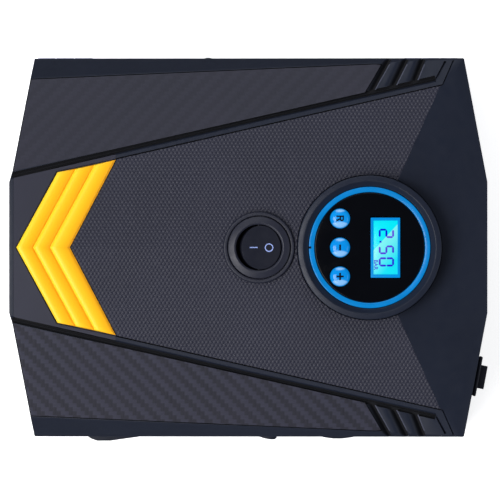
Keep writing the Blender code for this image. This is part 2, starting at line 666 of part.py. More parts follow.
# ---- motor -----------------------------------------------------------------
can = smooth(part(turned([(3.5, -34.0), (16.0, -34.0), (16.0, -72.0), (14.4, -72.0),
                          (14.4, -36.0), (3.5, -36.0)], (MOTOR_X, 0, PUMP_Z), "Y", 28),
                  "motor_can", STEEL))
endcap = smooth(part(turned([(2.2, -72.4), (16.0, -72.4), (15.4, -75.0), (2.2, -75.0)],
                            (MOTOR_X, 0, PUMP_Z), "Y", 28), "motor_end_cap", SOFT))
for z in (-9, 9):
    join(endcap, box((MOTOR_X - 2, -76.0, PUMP_Z + z - 0.4), (MOTOR_X + 2, -74.5, PUMP_Z + z + 0.4)))
smooth(part(turned([(0, -20.0), (1.5, -20.0), (1.5, -39.0), (12.0, -39.0), (12.0, -66.0),
                    (5.0, -66.0), (5.0, -70.5), (1.5, -70.5), (1.5, -81.4), (0, -81.4)],
                   (MOTOR_X, 0, PUMP_Z), "Y", 16, closed=False), "motor_rotor", STEEL))


def toothed(teeth, pitch_r, add, ded, thick, y0, y1, at, bore, phase=0.0):
    """A spur gear about a Y axis, teeth as tapered flanks."""
    half = math.pi / teeth * thick
    pts = []
    for i in range(teeth):
        c = 2 * math.pi * i / teeth + phase
        for r, f in ((pitch_r - ded, 1.35), (pitch_r + add, 0.45)):
            pts.append((r, c - half * f))
        for r, f in ((pitch_r + add, 0.45), (pitch_r - ded, 1.35)):
            pts.append((r, c + half * f))
    ring = [(r * math.cos(a), r * math.sin(a)) for r, a in pts]
    ob = prism(ring, -y1, -y0)
    # the prism's z becomes -y, its outline lies in x and z
    place(ob, Matrix(((1, 0, 0, at[0] * MM), (0, 0, -1, 0), (0, 1, 0, at[1] * MM),
                      (0, 0, 0, 1))))
    cut(ob, rod((at[0], y0 - 1, at[1]), (at[0], y1 + 1, at[1]), bore, seg=14))
    return ob


# ratio 32:8, pitch radii 16 and 4 on a centre distance of 20
gear = toothed(32, 16.0, 0.6, 0.9, 0.42, -26.9, -21.9, (CRANK_X, PUMP_Z), 3.3)
cut(gear, rod((CRANK_X - THROW, -30, PUMP_Z), (CRANK_X - THROW, -20, PUMP_Z), 2.8, seg=16))
part(apply(gear), "crank_gear", NYLON)
pinion = toothed(8, 4.0, 0.6, 0.9, 0.42, -27.0, -21.5, (MOTOR_X, PUMP_Z), 1.8,
                 math.pi + math.pi / 8)
part(apply(pinion), "motor_pinion", BRASS)
smooth(part(rod((CRANK_X, -35.0, PUMP_Z), (CRANK_X, -22.3, PUMP_Z), 3.0, seg=20),
            "crank_shaft", STEEL))
smooth(part(turned([(3.3, -27.7), (6.5, -27.7), (6.5, -33.3), (3.3, -33.3)],
                   (CRANK_X, 0, PUMP_Z), "Y", 20), "crank_bearing", STEEL))
smooth(part(rod((CRANK_X - THROW, -26.6, PUMP_Z), (CRANK_X - THROW, -18.5, PUMP_Z), 2.5,
                seg=18), "crank_pin", STEEL))
arc = [(3.5, -12.0)] + [(13 * math.cos(a), 13 * math.sin(a))
                        for a in [math.radians(-66 + 12 * i) for i in range(12)]] + [(3.5, 12.0)]
weight = prism(arc, 18.9, 21.6)
place(weight, Matrix(((1, 0, 0, CRANK_X * MM), (0, 0, -1, 0), (0, 1, 0, PUMP_Z * MM),
                      (0, 0, 0, 1))))
part(weight, "crank_counterweight", STEEL)

fan = turned([(1.8, -76.4), (14.0, -76.4), (14.0, -77.2), (3.6, -77.2), (3.6, -80.6),
              (1.8, -80.6)], (MOTOR_X, 0, PUMP_Z), "Y", 20)
part(fan, "cooling_fan", SOFT)
for i in range(7):
    a = 2 * math.pi * i / 7
    blade = box((3.0, -80.4, -0.6), (13.4, -77.0, 0.6))
    place(blade, Matrix.Translation((MOTOR_X * MM, 0, PUMP_Z * MM))
          @ Matrix.Rotation(a, 4, "Y"))
    join(fan, blade)
cut(lower, rod((MOTOR_X, -81.0, PUMP_Z), (MOTOR_X, -72.0, PUMP_Z), 15.2, seg=24))

# ---- pump frame, cylinder and head ---------------------------------------
pump_frame = part(box((-10, -33.5, 24.8), (47, -27.5, 62)), "pump_frame", ALU)
join(pump_frame, box((-10, -33.5, 24.8), (-7.3, 1.0, 62)))
cut(pump_frame,
    rod((CRANK_X, -34, PUMP_Z), (CRANK_X, -27, PUMP_Z), 6.8, seg=28),
    rod((MOTOR_X, -34, PUMP_Z), (MOTOR_X, -27, PUMP_Z), 5.2, seg=24),
    rod((-11, CYL_Y, PUMP_Z), (-7, CYL_Y, PUMP_Z), 11.6, seg=32))
profile = [(11.0, -10.3), (13.0, -10.3)]
for x in (-14.0, -18.5, -23.0, -27.5):
    profile += [(13.0, x), (16.0, x), (16.0, x - 1.6), (13.0, x - 1.6)]
profile += [(13.0, -32.9), (11.0, -32.9)]
smooth(part(turned(profile, (0, CYL_Y, PUMP_Z), "X", 24), "cylinder", ALU))
smooth(part(turned([(11.3, -33.2), (15.4, -33.2), (15.4, -33.8), (11.3, -33.8)],
                   (0, CYL_Y, PUMP_Z), "X", 20), "head_gasket", SOFT))
head = part(box((-40.4, CYL_Y - 15.4, PUMP_Z - 15.4), (-34.1, CYL_Y + 15.4, PUMP_Z + 15.4)),
            "cylinder_head", ALU)
join(head, rod((-40, CYL_Y, 52), (-46.5, CYL_Y, 52), 2.5, seg=16),
     rod((-37.2, CYL_Y + 15, 54), (-37.2, CYL_Y + 20.5, 54), 1.7, seg=14))
for i, s in enumerate((1, -1)):
    y, z = CYL_Y + 12.7 * s, PUMP_Z + 12.7
    cut(head, rod((-42, y, z), (-33, y, z), 1.9, seg=14))
    cut(pump_frame, rod((-11, y, z), (-6, y, z), 1.9, seg=14))
    smooth(part(turned([(0, -6.9), (1.5, -6.9), (1.5, -40.7), (3.0, -40.7), (3.0, -42.6),
                        (0, -42.6)], (0, y, z), "X", 10, closed=False),
                f"head_screw_{i + 1}", STEEL))
PIN_X = CRANK_X - THROW
PISTON_X = PIN_X - ROD
piston = turned([(0, PISTON_X + 2.5), (9.8, PISTON_X + 2.5), (9.8, PISTON_X + 1.0),
                 (8.4, PISTON_X + 1.0), (8.4, PISTON_X - 1.0), (9.8, PISTON_X - 1.0),
                 (9.8, PISTON_X - 2.5), (0, PISTON_X - 2.5)], (0, CYL_Y, PUMP_Z), "X", 24,
                closed=False)
part(piston, "piston_rod", ALU)
join(piston, box((PISTON_X + 2.0, CYL_Y - 3, PUMP_Z - 3.2), (PIN_X - 2, CYL_Y + 3, PUMP_Z + 3.2)),
     rod((PIN_X, CYL_Y - 3, PUMP_Z), (PIN_X, CYL_Y + 3, PUMP_Z), 6.0, seg=20),
     solver="MANIFOLD")
cut(piston, rod((PIN_X, CYL_Y - 4, PUMP_Z), (PIN_X, CYL_Y + 4, PUMP_Z), 2.9, seg=14),
    solver="MANIFOLD")
smooth(part(turned([(8.7, PISTON_X + 0.7), (10.7, PISTON_X + 0.7), (10.7, PISTON_X - 0.7),
                    (8.7, PISTON_X - 0.7)], (0, CYL_Y, PUMP_Z), "X", 24), "piston_seal", SOFT))
saddle = part(box((MOTOR_X - 13, -66, 24.8), (MOTOR_X + 13, -44, 40)), "motor_saddle", SOFT)
cut(saddle, rod((MOTOR_X, -70, PUMP_Z), (MOTOR_X, -40, PUMP_Z), 16.3, seg=40))

# ---- air and power lines -------------------------------------------------
union = turned([(2.5, 32.6), (4.0, 27.4), (7.2, 27.4), (7.2, 24.8), (5.0, 24.8), (5.0, 13.0),
                (1.6, 12.0), (1.6, 32.6)], (-55, -15, 0), seg=16)
smooth(part(union, "air_hose_union", BRASS))
gland = turned([(2.8, 27.4), (7.2, 27.4), (7.2, 24.8), (5.0, 24.8), (5.0, 21.7),
                (7.0, 21.7), (5.6, 15.0), (2.8, 15.0)], (-55, 8, 0), seg=16)
smooth(part(gland, "power_cord_gland", SOFT))
tube(bezier((-46.9, CYL_Y, 52), (-57, CYL_Y, 52), (-55, -15, 44), (-55, -15, 33.0), 10),
     2.5, "air_tube", SOFT, 2)
tube(bezier((-37.2, CYL_Y + 20.9, 54), (-37.2, 26, 54), (-10, 44, 42), (-10, 44, 54.1), 14),
     1.5, "sensor_tube", SOFT, 1)
tube(bezier((-55, 8, 27.8), (-55, 8, 52), (-3, 7, 36), (-3, SWITCH_Y, 54.6), 14),
     1.2, "power_lead", SOFT, 1)
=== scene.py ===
"""Looks of the portable tyre inflator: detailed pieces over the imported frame.

Lengths in the builders are millimetres and become metres through MM. The frame is the
CAD's: origin on the surface under the case, +Z up, +Y towards the display end.
"""
import json
import math

import bmesh
import bpy
import numpy as np
from mathutils import Matrix, Vector


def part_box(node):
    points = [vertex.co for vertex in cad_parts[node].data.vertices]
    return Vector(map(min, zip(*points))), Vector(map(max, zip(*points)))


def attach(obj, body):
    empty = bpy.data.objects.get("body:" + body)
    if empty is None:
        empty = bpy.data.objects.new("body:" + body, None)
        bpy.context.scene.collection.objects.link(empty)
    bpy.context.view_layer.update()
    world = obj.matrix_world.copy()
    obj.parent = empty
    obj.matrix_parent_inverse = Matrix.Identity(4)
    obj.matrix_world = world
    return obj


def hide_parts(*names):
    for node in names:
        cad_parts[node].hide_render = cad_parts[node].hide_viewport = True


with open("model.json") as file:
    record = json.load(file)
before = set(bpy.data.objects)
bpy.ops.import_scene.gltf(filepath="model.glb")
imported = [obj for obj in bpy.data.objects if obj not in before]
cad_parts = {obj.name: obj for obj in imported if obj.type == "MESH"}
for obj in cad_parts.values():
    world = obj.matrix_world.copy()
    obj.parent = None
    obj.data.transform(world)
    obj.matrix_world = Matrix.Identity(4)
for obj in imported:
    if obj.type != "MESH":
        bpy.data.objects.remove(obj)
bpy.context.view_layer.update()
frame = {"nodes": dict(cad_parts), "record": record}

MM = 0.001
GAP = 0.3
TEMP = []

# ---- the case's numbers, as in the CAD ----------------------------------
HALF_W = 70.3
OUTLINE = [(24.2, -88.8), (28.4, -87.6), (HALF_W, -79.6), (HALF_W, 80.0), (24.3, 88.7)]
WALL = 3.2
PARTING_Z = 36.0
RIDGE_Z = 74.0
RIM_Z = 6.3
DECK_Z = (22.0, 24.5)
ROOF = (RIDGE_Z, 0.0, -0.09)
END = (81.848, -0.18, -0.0072)
CORNER = (98.4, -0.3, -0.128)
SIDE = (85.3, 0.0517, -0.34)
BEVEL = (160.0, 0.10074, -1.4634)
PANEL_T = 1.8
DISPLAY_Y = 44.9
BEZEL_R = 26.75
SWITCH_Y = 3.9
ROCKER_TILT = 8.0
KEY_X = (-10.75, 0.0, 10.75)
KEY_Y = 33.95
KEY_R = 3.7
PIVOT_Z = 71.0
FOOT = (54.0, 58.0)
HX, HZ = -69.0, 5.2
HINGE_SPANS = ((-78.8, -58.4), (58.4, 78.1))
CENTRE = [(26.9, -86.9), (59.4, 70.6), (0.0, 43.3), (-59.4, 70.6), (-26.9, -86.9)]
CENTRE_GROWN = [(27.25, -87.2), (59.75, 71.2), (0.0, 44.0), (-59.75, 71.2), (-27.25, -87.2)]
SIDE_PANEL = [(28.9, -86.3), (61.6, -80.0), (67.2, 46.9), (67.0, 49.1), (57.3, 43.2), (48.1, 0.6)]
RIB_Y0 = (-86.1, -79.8, -73.6, -66.3)
RIB_Y1 = (-70.9, -64.1, -57.0, -49.3)
RIB_X1 = (27.9, 29.1, 30.6, 32.5)
CHEVRON_BASE = 1.0
V_GROWN = [(0, RIB_Y0[0] - 0.4), (28.3, -71.2), (33.0, -49.2), (32.6, -48.8),
           (0, RIB_Y0[3] + 0.4), (-32.6, -48.8), (-33.0, -49.2), (-28.3, -71.2)]
WOVEN = [(28.1, -87.25), (62.4, -80.75), (68.0, 46.9), (67.8, 49.2), (57.6, 43.2), (47.9, 0.6)]
HOLE = [(26.2, -87.2), (34.75, -49.3), (33.09, -49.3), (60.45, 71.35), (0.0, 44.0)]
LOUVRES = ((46.3, 52.3), (53.4, 58.8), (60.8, 65.2))


# ======================================================================
# mesh helpers
# ======================================================================
def new_object(name, bm):
    bmesh.ops.recalc_face_normals(bm, faces=bm.faces[:])
    me = bpy.data.meshes.new(name)
    bm.to_mesh(me)
    bm.free()
    ob = bpy.data.objects.new(name, me)
    bpy.context.scene.collection.objects.link(ob)
    TEMP.append(ob)
    return ob


def from_data(name, verts, faces):
    me = bpy.data.meshes.new(name)
    me.from_pydata([tuple(v) for v in verts], [], faces)
    me.update()
    bm = bmesh.new()
    bm.from_mesh(me)
    bpy.data.meshes.remove(me)
    bmesh.ops.remove_doubles(bm, verts=bm.verts[:], dist=1e-7)
    return new_object(name, bm)


def plane_z(plane, x, y):
    return plane[0] + plane[1] * y + plane[2] * abs(x)


def top_z(x, y):
    return min(plane_z(p, x, y) for p in (ROOF, END, SIDE, BEVEL, CORNER))


def box(lo, hi, name="box"):
    bm = bmesh.new()
    bmesh.ops.create_cube(bm, size=1.0)
    lo, hi = Vector(lo) * MM, Vector(hi) * MM
    bmesh.ops.scale(bm, vec=hi - lo, verts=bm.verts[:])
    bmesh.ops.translate(bm, vec=(lo + hi) / 2, verts=bm.verts[:])
    return new_object(name, bm)


def rod(p0, p1, r0, r1=None, seg=48, name="rod"):
    p0, p1 = Vector(p0) * MM, Vector(p1) * MM
    d = p1 - p0
    bm = bmesh.new()
    bmesh.ops.create_cone(bm, cap_ends=True, segments=seg, radius1=r0 * MM,
                          radius2=(r0 if r1 is None else r1) * MM, depth=d.length)
    turn = d.to_track_quat("Z", "Y").to_matrix().to_4x4()
    bmesh.ops.transform(bm, matrix=Matrix.Translation((p0 + p1) / 2) @ turn, verts=bm.verts[:])
    return new_object(name, bm)


def fillet(points, r, n=4, closed=True):
    """Round the corners of an outline or profile with arcs."""
    out, m = [], len(points)
    for i, p in enumerate(points):
        rr = r[i] if isinstance(r, (list, tuple)) else r
        if (not closed and i in (0, m - 1)) or rr <= 0:
            out.append(tuple(p))
            continue
        p = Vector(p)
        u, v = Vector(points[i - 1]) - p, Vector(points[(i + 1) % m]) - p
        lu, lv = u.length, v.length
        u, v = u / lu, v / lv
        ang = u.angle(v)
        if ang > math.radians(176):
            out.append(tuple(p))
            continue
        t = min(rr / math.tan(ang / 2), 0.45 * lu, 0.45 * lv)
        q = t * math.tan(ang / 2)
        c = p + (u + v).normalized() * (q / math.sin(ang / 2))
        s, e = p + u * t, p + v * t
        a0 = math.atan2(s.y - c.y, s.x - c.x)
        a1 = math.atan2(e.y - c.y, e.x - c.x)
        d = (a1 - a0 + math.pi) % (2 * math.pi) - math.pi
        for k in range(n + 1):
            th = a0 + d * k / n
            out.append((c.x + q * math.cos(th), c.y + q * math.sin(th)))
    return out


def turned(profile, at, axis="Z", seg=96, closed=True, name="turned"):
    """A profile of (radius, height) spun about an axis through `at`."""
    n = len(profile)
    vs, fs = [], []
    for j in range(seg):
        a = 2 * math.pi * j / seg
        for r, h in profile:
            vs.append((r * math.cos(a) * MM, r * math.sin(a) * MM, h * MM))
    pairs = [(i, i + 1) for i in range(n - 1)] + ([(n - 1, 0)] if closed else [])
    for j in range(seg):
        k = (j + 1) % seg
        for i, i2 in pairs:
            fs.append((j * n + i, k * n + i, k * n + i2, j * n + i2))
    ob = from_data(name, vs, fs)
    turn = {"Z": Matrix(), "X": Matrix.Rotation(math.pi / 2, 4, "Y"),
            "Y": Matrix.Rotation(-math.pi / 2, 4, "X")}[axis]
    ob.data.transform(Matrix.Translation(Vector(at) * MM) @ turn)
    return ob


def prism(points, z0, z1, name="prism"):
    """A flat outline (x, y), any shape, extruded from z0 to z1."""
    n = len(points)
    vs = [(x * MM, y * MM, z0 * MM) for x, y in points] + \
         [(x * MM, y * MM, z1 * MM) for x, y in points]
    fs = [tuple(range(n)), tuple(range(2 * n - 1, n - 1, -1))]
    fs += [(i, (i + 1) % n, n + (i + 1) % n, n + i) for i in range(n)]
    return from_data(name, vs, fs)


def evaluated(ob):
    dg = bpy.context.evaluated_depsgraph_get()
    dg.update()
    return bpy.data.meshes.new_from_object(ob.evaluated_get(dg))


def apply(ob):
    me = evaluated(ob)
    old = ob.data
    ob.modifiers.clear()
    ob.data = me
    bpy.data.meshes.remove(old)
    return ob


def boolean(ob, others, operation, solver):
    for o in others:
        m = ob.modifiers.new("b", "BOOLEAN")
        m.operation, m.object, m.solver = operation, o, solver
        apply(ob)
    return ob


def cut(ob, *others, solver="MANIFOLD"):
    return boolean(ob, others, "DIFFERENCE", solver)


def join(ob, *others, solver="MANIFOLD"):
    return boolean(ob, others, "UNION", solver)


def common(ob, *others, solver="MANIFOLD"):
    return boolean(ob, others, "INTERSECT", solver)


def copy_of(ob, name="copy"):
    c = bpy.data.objects.new(name, ob.data.copy())
    c.matrix_world = ob.matrix_world.copy()
    bpy.context.scene.collection.objects.link(c)
    TEMP.append(c)
    return c


def bevel(ob, width, segments=2, angle=25):
    m = ob.modifiers.new("bevel", "BEVEL")
    m.width = width * MM
    m.segments = segments
    m.limit_method = "ANGLE"
    m.angle_limit = math.radians(angle)
    m.use_clamp_overlap = True
    return apply(ob)


def merge(*obs, name="merged"):
    """Several separate closed solids as one object."""
    bm = bmesh.new()
    for o in obs:
        me = o.data.copy()
        me.transform(o.matrix_world)
        bm.from_mesh(me)
        bpy.data.meshes.remove(me)
    return new_object(name, bm)


def place(ob, matrix):
    ob.data.transform(matrix)
    ob.data.update()
    return ob


def inset(points, d):
    n = len(points)
    area = sum(points[i][0] * points[(i + 1) % n][1]
               - points[(i + 1) % n][0] * points[i][1] for i in range(n))
    s = 1 if area > 0 else -1
    lines = []
    for i in range(n):
        (x0, y0), (x1, y1) = points[i], points[(i + 1) % n]
        l = math.hypot(x1 - x0, y1 - y0)
        nx, ny = -(y1 - y0) / l * s, (x1 - x0) / l * s
        lines.append((nx, ny, nx * x0 + ny * y0 + d))
    out = []
    for i in range(n):
        a, b = lines[i - 1], lines[i]
        det = a[0] * b[1] - a[1] * b[0]
        out.append(((a[2] * b[1] - a[1] * b[2]) / det, (a[0] * b[2] - a[2] * b[0]) / det))
    return out


def full_outline(d=0.0):
    return inset(OUTLINE + [(-x, y) for x, y in reversed(OUTLINE)], d)


def mirror_x(points):
    return [(-x, y) for x, y in reversed(points)]


def slice_top(ob, planes, d=0.0):
    """Cut a solid along top faces z = a + b*y + c*|x|, moved down by d."""
    bm = bmesh.new()
    bm.from_mesh(ob.data)
    for a, b, c in planes:
        for s in ((1, -1) if c else (1,)):
            n = Vector((-c * s, -b, 1)).normalized()
            p = Vector((0, 0, a * MM)) - n * d * MM
            res = bmesh.ops.bisect_plane(bm, geom=bm.verts[:] + bm.edges[:] + bm.faces[:],
                                         dist=1e-7, plane_co=p, plane_no=n, clear_outer=True)
            rim = [e for e in res["geom_cut"]
                   if isinstance(e, bmesh.types.BMEdge) and e.is_boundary]
            if rim:
                bmesh.ops.contextual_create(bm, geom=rim)
    bmesh.ops.dissolve_degenerate(bm, dist=1e-7, edges=bm.edges[:])
    bmesh.ops.recalc_face_normals(bm, faces=bm.faces[:])
    bm.to_mesh(ob.data)
    bm.free()
    return ob


def case_block(d, z0, planes_d, r=0.0, n=5):
    pts = full_outline(d)
    if r:
        pts = fillet(pts, r, n)
    return slice_top(prism(pts, z0, 90), (ROOF, END, SIDE, BEVEL, CORNER), planes_d)


def under(plane, d=0.0):
    """A large block filling the space below a top face."""
    return slice_top(prism([(95, -105), (95, 105), (-95, 105), (-95, -105)], 20, 95), (plane,), d)


def channel(line, section, s, z_of, name="channel"):
    """A cutter swept along a plan polyline; section is a loop of (offset, height over the face)."""
    rings = []
    for i, p in enumerate(line):
        p = Vector(p)
        prev = (p - Vector(line[i - 1])).normalized() if i else None
        nxt = (Vector(line[i + 1]) - p).normalized() if i + 1 < len(line) else None
        d0, d1 = prev or nxt, nxt or prev
        t = (d0 + d1).normalized()
        nrm = Vector((t.y, -t.x))
        k = 1 / max(0.5, nrm.dot(Vector((d0.y, -d0.x))))
        ring = []
        for off, h in section:
            q = p + nrm * off * k
            base = z_of(q.x, q.y)
            ring.append((q.x * s * MM, q.y * MM, (base + h) * MM))
        rings.append(ring)
    m = len(section)
    vs = [v for r in rings for v in r]
    fs = [tuple(range(m)), tuple(range(len(vs) - 1, len(vs) - m - 1, -1))]
    for a in range(len(rings) - 1):
        for i in range(m):
            j = (i + 1) % m
            fs.append((a * m + i, a * m + j, (a + 1) * m + j, (a + 1) * m + i))
    return from_data(name, vs, fs)


def heightfield(xs, ys, z, low, name="field"):
    """A closed solid under a grid of heights, in mm."""
    gx, gy = np.meshgrid(xs, ys, indexing="ij")
    top = np.stack([gx, gy, z], -1).reshape(-1, 3) * MM
    idx = np.arange(len(xs) * len(ys)).reshape(len(xs), len(ys))
    quads = np.stack([idx[:-1, :-1], idx[1:, :-1], idx[1:, 1:], idx[:-1, 1:]], -1).reshape(-1, 4)
    border = list(idx[:, 0]) + list(idx[-1, 1:]) + list(idx[-2::-1, -1]) + list(idx[0, -2:0:-1])
    base = top[border].copy()
    base[:, 2] = low * MM
    n = len(top)
    m = len(border)
    faces = quads.tolist()
    faces += [(int(border[i]), n + i, n + (i + 1) % m, int(border[(i + 1) % m])) for i in range(m)]
    faces.append(tuple(range(n + m - 1, n - 1, -1)))
    me = bpy.data.meshes.new(name)
    me.from_pydata(np.vstack([top, base]).tolist(), [], faces)
    me.update()
    bm = bmesh.new()
    bm.from_mesh(me)
    bpy.data.meshes.remove(me)
    return new_object(name, bm)


def glyph(text, size, at, z0, z1, name="glyph", bold=0.0):
    """A letter from the built-in sans font as a solid, centred at (x, y)."""
    cu = bpy.data.curves.new(name, "FONT")
    cu.body = text
    cu.size = size * MM
    cu.offset = bold * MM
    cu.align_x = "CENTER"
    cu.align_y = "CENTER"
    cu.resolution_u = 6
    tmp = bpy.data.objects.new(name, cu)
    bpy.context.scene.collection.objects.link(tmp)
    me = evaluated(tmp)
    bpy.data.objects.remove(tmp, do_unlink=True)
    bm = bmesh.new()
    bm.from_mesh(me)
    bpy.data.meshes.remove(me)
    bmesh.ops.remove_doubles(bm, verts=bm.verts[:], dist=1e-7)
    lo = [min(v.co[a] for v in bm.verts) for a in (0, 1)]
    hi = [max(v.co[a] for v in bm.verts) for a in (0, 1)]
    for v in bm.verts:
        v.co.x += at[0] * MM - (lo[0] + hi[0]) / 2
        v.co.y += at[1] * MM - (lo[1] + hi[1]) / 2
        v.co.z = z0 * MM
    res = bmesh.ops.extrude_face_region(bm, geom=bm.faces[:])
    bmesh.ops.translate(bm, vec=(0, 0, (z1 - z0) * MM),
                        verts=[v for v in res["geom"] if isinstance(v, bmesh.types.BMVert)])
    # the first copy of the faces is the underside
    return new_object(name, bm)


def inlay(base, shape, up=0.03):
    """A thin print of `shape` lying on the surface of `base`."""
    lifted = copy_of(base)
    place(lifted, Matrix.Translation((0, 0, up * MM)))
    common(shape, lifted)
    sunk = copy_of(base)
    place(sunk, Matrix.Translation((0, 0, -0.02 * MM)))
    return cut(shape, sunk)


def shade(ob, angle=35):
    me = ob.data
    me.shade_smooth()
    me.set_sharp_from_angle(angle=math.radians(angle))
    return ob


def piece(ob, name, body, mat, nodes=(), angle=35):
    """Keep a solid as a visible piece on a CAD body."""
    if ob in TEMP:
        TEMP.remove(ob)
    bm = bmesh.new()
    bm.from_mesh(ob.data)
    bmesh.ops.dissolve_degenerate(bm, dist=5e-7, edges=bm.edges[:])
    loose = [v for v in bm.verts if not v.link_faces]
    bmesh.ops.delete(bm, geom=loose, context="VERTS")
    bm.to_mesh(ob.data)
    bm.free()
    ob.name = name
    ob.data.name = name
    ob.data.materials.clear()
    ob.data.materials.append(mat)
    shade(ob, angle)
    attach(ob, body)
    if nodes:
        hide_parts(*nodes)
    return ob


# ======================================================================
# materials
# ======================================================================
def linear(c):
    c = c / 255.0
    return c / 12.92 if c <= 0.04045 else ((c + 0.055) / 1.055) ** 2.4


def rgba(rgb, k=1.0):
    return (*[min(1.0, linear(v) * k) for v in rgb], 1.0)


class Mat:
    """A small builder for node materials."""

    def __init__(self, name, metallic=0.0, specular=0.5, ior=1.5):
        self.m = bpy.data.materials.new(name)
        self.m.use_nodes = True
        self.nt = self.m.node_tree
        self.b = self.nt.nodes["Principled BSDF"]
        self.b.inputs["Metallic"].default_value = metallic
        self.b.inputs["Specular IOR Level"].default_value = specular
        self.b.inputs["IOR"].default_value = ior
        self.co = self.nt.nodes.new("ShaderNodeTexCoord").outputs["Object"]

    def node(self, kind, links=(), **values):
        n = self.nt.nodes.new(kind)
        for k, v in values.items():
            setattr(n, k, v)
        for key, src in links:
            if hasattr(src, "is_linked"):
                self.nt.links.new(src, n.inputs[key])
            else:
                n.inputs[key].default_value = src
        return n

    def math(self, op, a, b=None, c=None):
        n = self.node("ShaderNodeMath", operation=op)
        for i, v in enumerate((a, b, c)):
            if v is None:
                continue
            if hasattr(v, "is_linked"):
                self.nt.links.new(v, n.inputs[i])
            else:
                n.inputs[i].default_value = v
        return n.outputs[0]

    def scaled(self, scale):
        return self.node("ShaderNodeVectorMath", [(0, self.co), (1, scale)],
                         operation="MULTIPLY").outputs[0]

    def noise(self, scale, detail=2.0, rough=0.5, vector=None):
        return self.node("ShaderNodeTexNoise",
                         [("Vector", vector or self.co), ("Scale", scale), ("Detail", detail),
                          ("Roughness", rough)]).outputs["Fac"]

    def ramp(self, fac, stops, interpolation="LINEAR"):
        n = self.node("ShaderNodeValToRGB", [("Fac", fac)])
        n.color_ramp.interpolation = interpolation
        el = n.color_ramp.elements
        while len(el) > 1:
            el.remove(el[-1])
        el[0].position, el[0].color = stops[0]
        for p, c in stops[1:]:
            e = el.new(p)
            e.color = c
        return n.outputs["Color"]

    def mix(self, fac, a, b):
        n = self.nt.nodes.new("ShaderNodeMix")
        n.data_type = "RGBA"
        for sock, v in ((n.inputs[0], fac), (n.inputs[6], a), (n.inputs[7], b)):
            if hasattr(v, "is_linked"):
                self.nt.links.new(v, sock)
            else:
                sock.default_value = v
        return n.outputs[2]

    def span(self, fac, lo, hi, f0=0.3, f1=0.7):
        return self.node("ShaderNodeMapRange",
                         [("Value", fac), ("From Min", f0), ("From Max", f1), ("To Min", lo),
                          ("To Max", hi)]).outputs[0]

    def bump(self, height, strength, distance, normal=None):
        links = [("Height", height), ("Strength", strength), ("Distance", distance * MM)]
        if normal is not None:
            links.append(("Normal", normal))
        return self.node("ShaderNodeBump", links).outputs[0]

    def put(self, **sockets):
        for k, v in sockets.items():
            key = k.replace("_", " ")
            if hasattr(v, "is_linked"):
                self.nt.links.new(v, self.b.inputs[key])
            else:
                self.b.inputs[key].default_value = v
        return self.m


def plastic(name, rgb, rough=0.5, vary=0.08, grain=2200, bump=0.12, depth=0.03, spec=0.5,
            rough_vary=0.06, coat=0.0, coat_rough=0.08, blotch=55, metallic=0.0):
    """Moulded plastic: soft tone changes, a fine spark-eroded grain and uneven gloss."""
    k = Mat(name, metallic, spec)
    big = k.noise(blotch, 3.0)
    fine = k.noise(grain, 3.0, 0.6)
    tone = k.mix(k.span(big, 0, 1), rgba(rgb, 1 - vary), rgba(rgb, 1 + vary))
    tone = k.mix(k.span(fine, 0.0, 0.35), tone, rgba(rgb, 1 + 2.2 * vary))
    k.b.inputs["Coat Weight"].default_value = coat
    k.b.inputs["Coat Roughness"].default_value = coat_rough
    return k.put(Base_Color=tone, Roughness=k.span(k.noise(blotch * 6, 4.0), rough - rough_vary,
                                                   rough + rough_vary),
                 Normal=k.bump(fine, bump, depth))


BODY_RGB = (26, 31, 44)
ABS = plastic("black_abs", BODY_RGB, rough=0.42, vary=0.07, bump=0.12, depth=0.015, spec=0.2)


def case_abs_with_painted_shade():
    """The case's plastic: duller down in its trench, hairlines and louvres, and darkened there with painted shade.
    """
    k = Mat("case_abs", 0.0, 0.2)
    sep = k.node("ShaderNodeSeparateXYZ", [(0, k.co)])
    x, y, z = k.math("ABSOLUTE", sep.outputs[0]), sep.outputs[1], sep.outputs[2]

    def above(plane):
        h = k.math("MULTIPLY_ADD", x, plane[2], plane[0] * MM)
        return k.math("SUBTRACT", k.math("MULTIPLY_ADD", y, plane[1], h), z)

    depth = above(ROOF)
    for plane in (SIDE, BEVEL, END, CORNER):
        depth = k.math("MINIMUM", depth, above(plane))
    inside = k.math("SUBTRACT", y, k.math("MULTIPLY_ADD", x, 0.1909, -0.09302))
    inside = k.math("MINIMUM", inside, k.math("SUBTRACT", 0.0700, x))
    inside = k.math("MINIMUM", inside, k.math("ADD", y, 0.0886))
    inside = k.math("MINIMUM", inside, k.math("SUBTRACT", 0.0786, y))
    # painted shade: the colour darkens with depth below the outer faces, inside the case's plan
    low = k.math("MULTIPLY", k.span(depth, 0.0, 1.0, 0.00025, 0.0016),
                 k.math("GREATER_THAN", inside, 0.0002))
    big, fine = k.noise(55, 3.0), k.noise(2200, 3.0, 0.6)
    tone = k.mix(k.span(big, 0, 1), rgba(BODY_RGB, 0.93), rgba(BODY_RGB, 1.07))
    tone = k.mix(k.span(fine, 0.0, 0.35), tone, rgba(BODY_RGB, 1.15))
    tone = k.mix(low, tone, rgba((10, 11, 16)))
    rough = k.node("ShaderNodeMix", [(0, low), (2, k.span(k.noise(330, 4.0), 0.36, 0.48)), (3, 0.7)],
                   data_type="FLOAT").outputs[0]
    return k.put(Base_Color=tone, Roughness=rough, Normal=k.bump(fine, 0.12, 0.015))


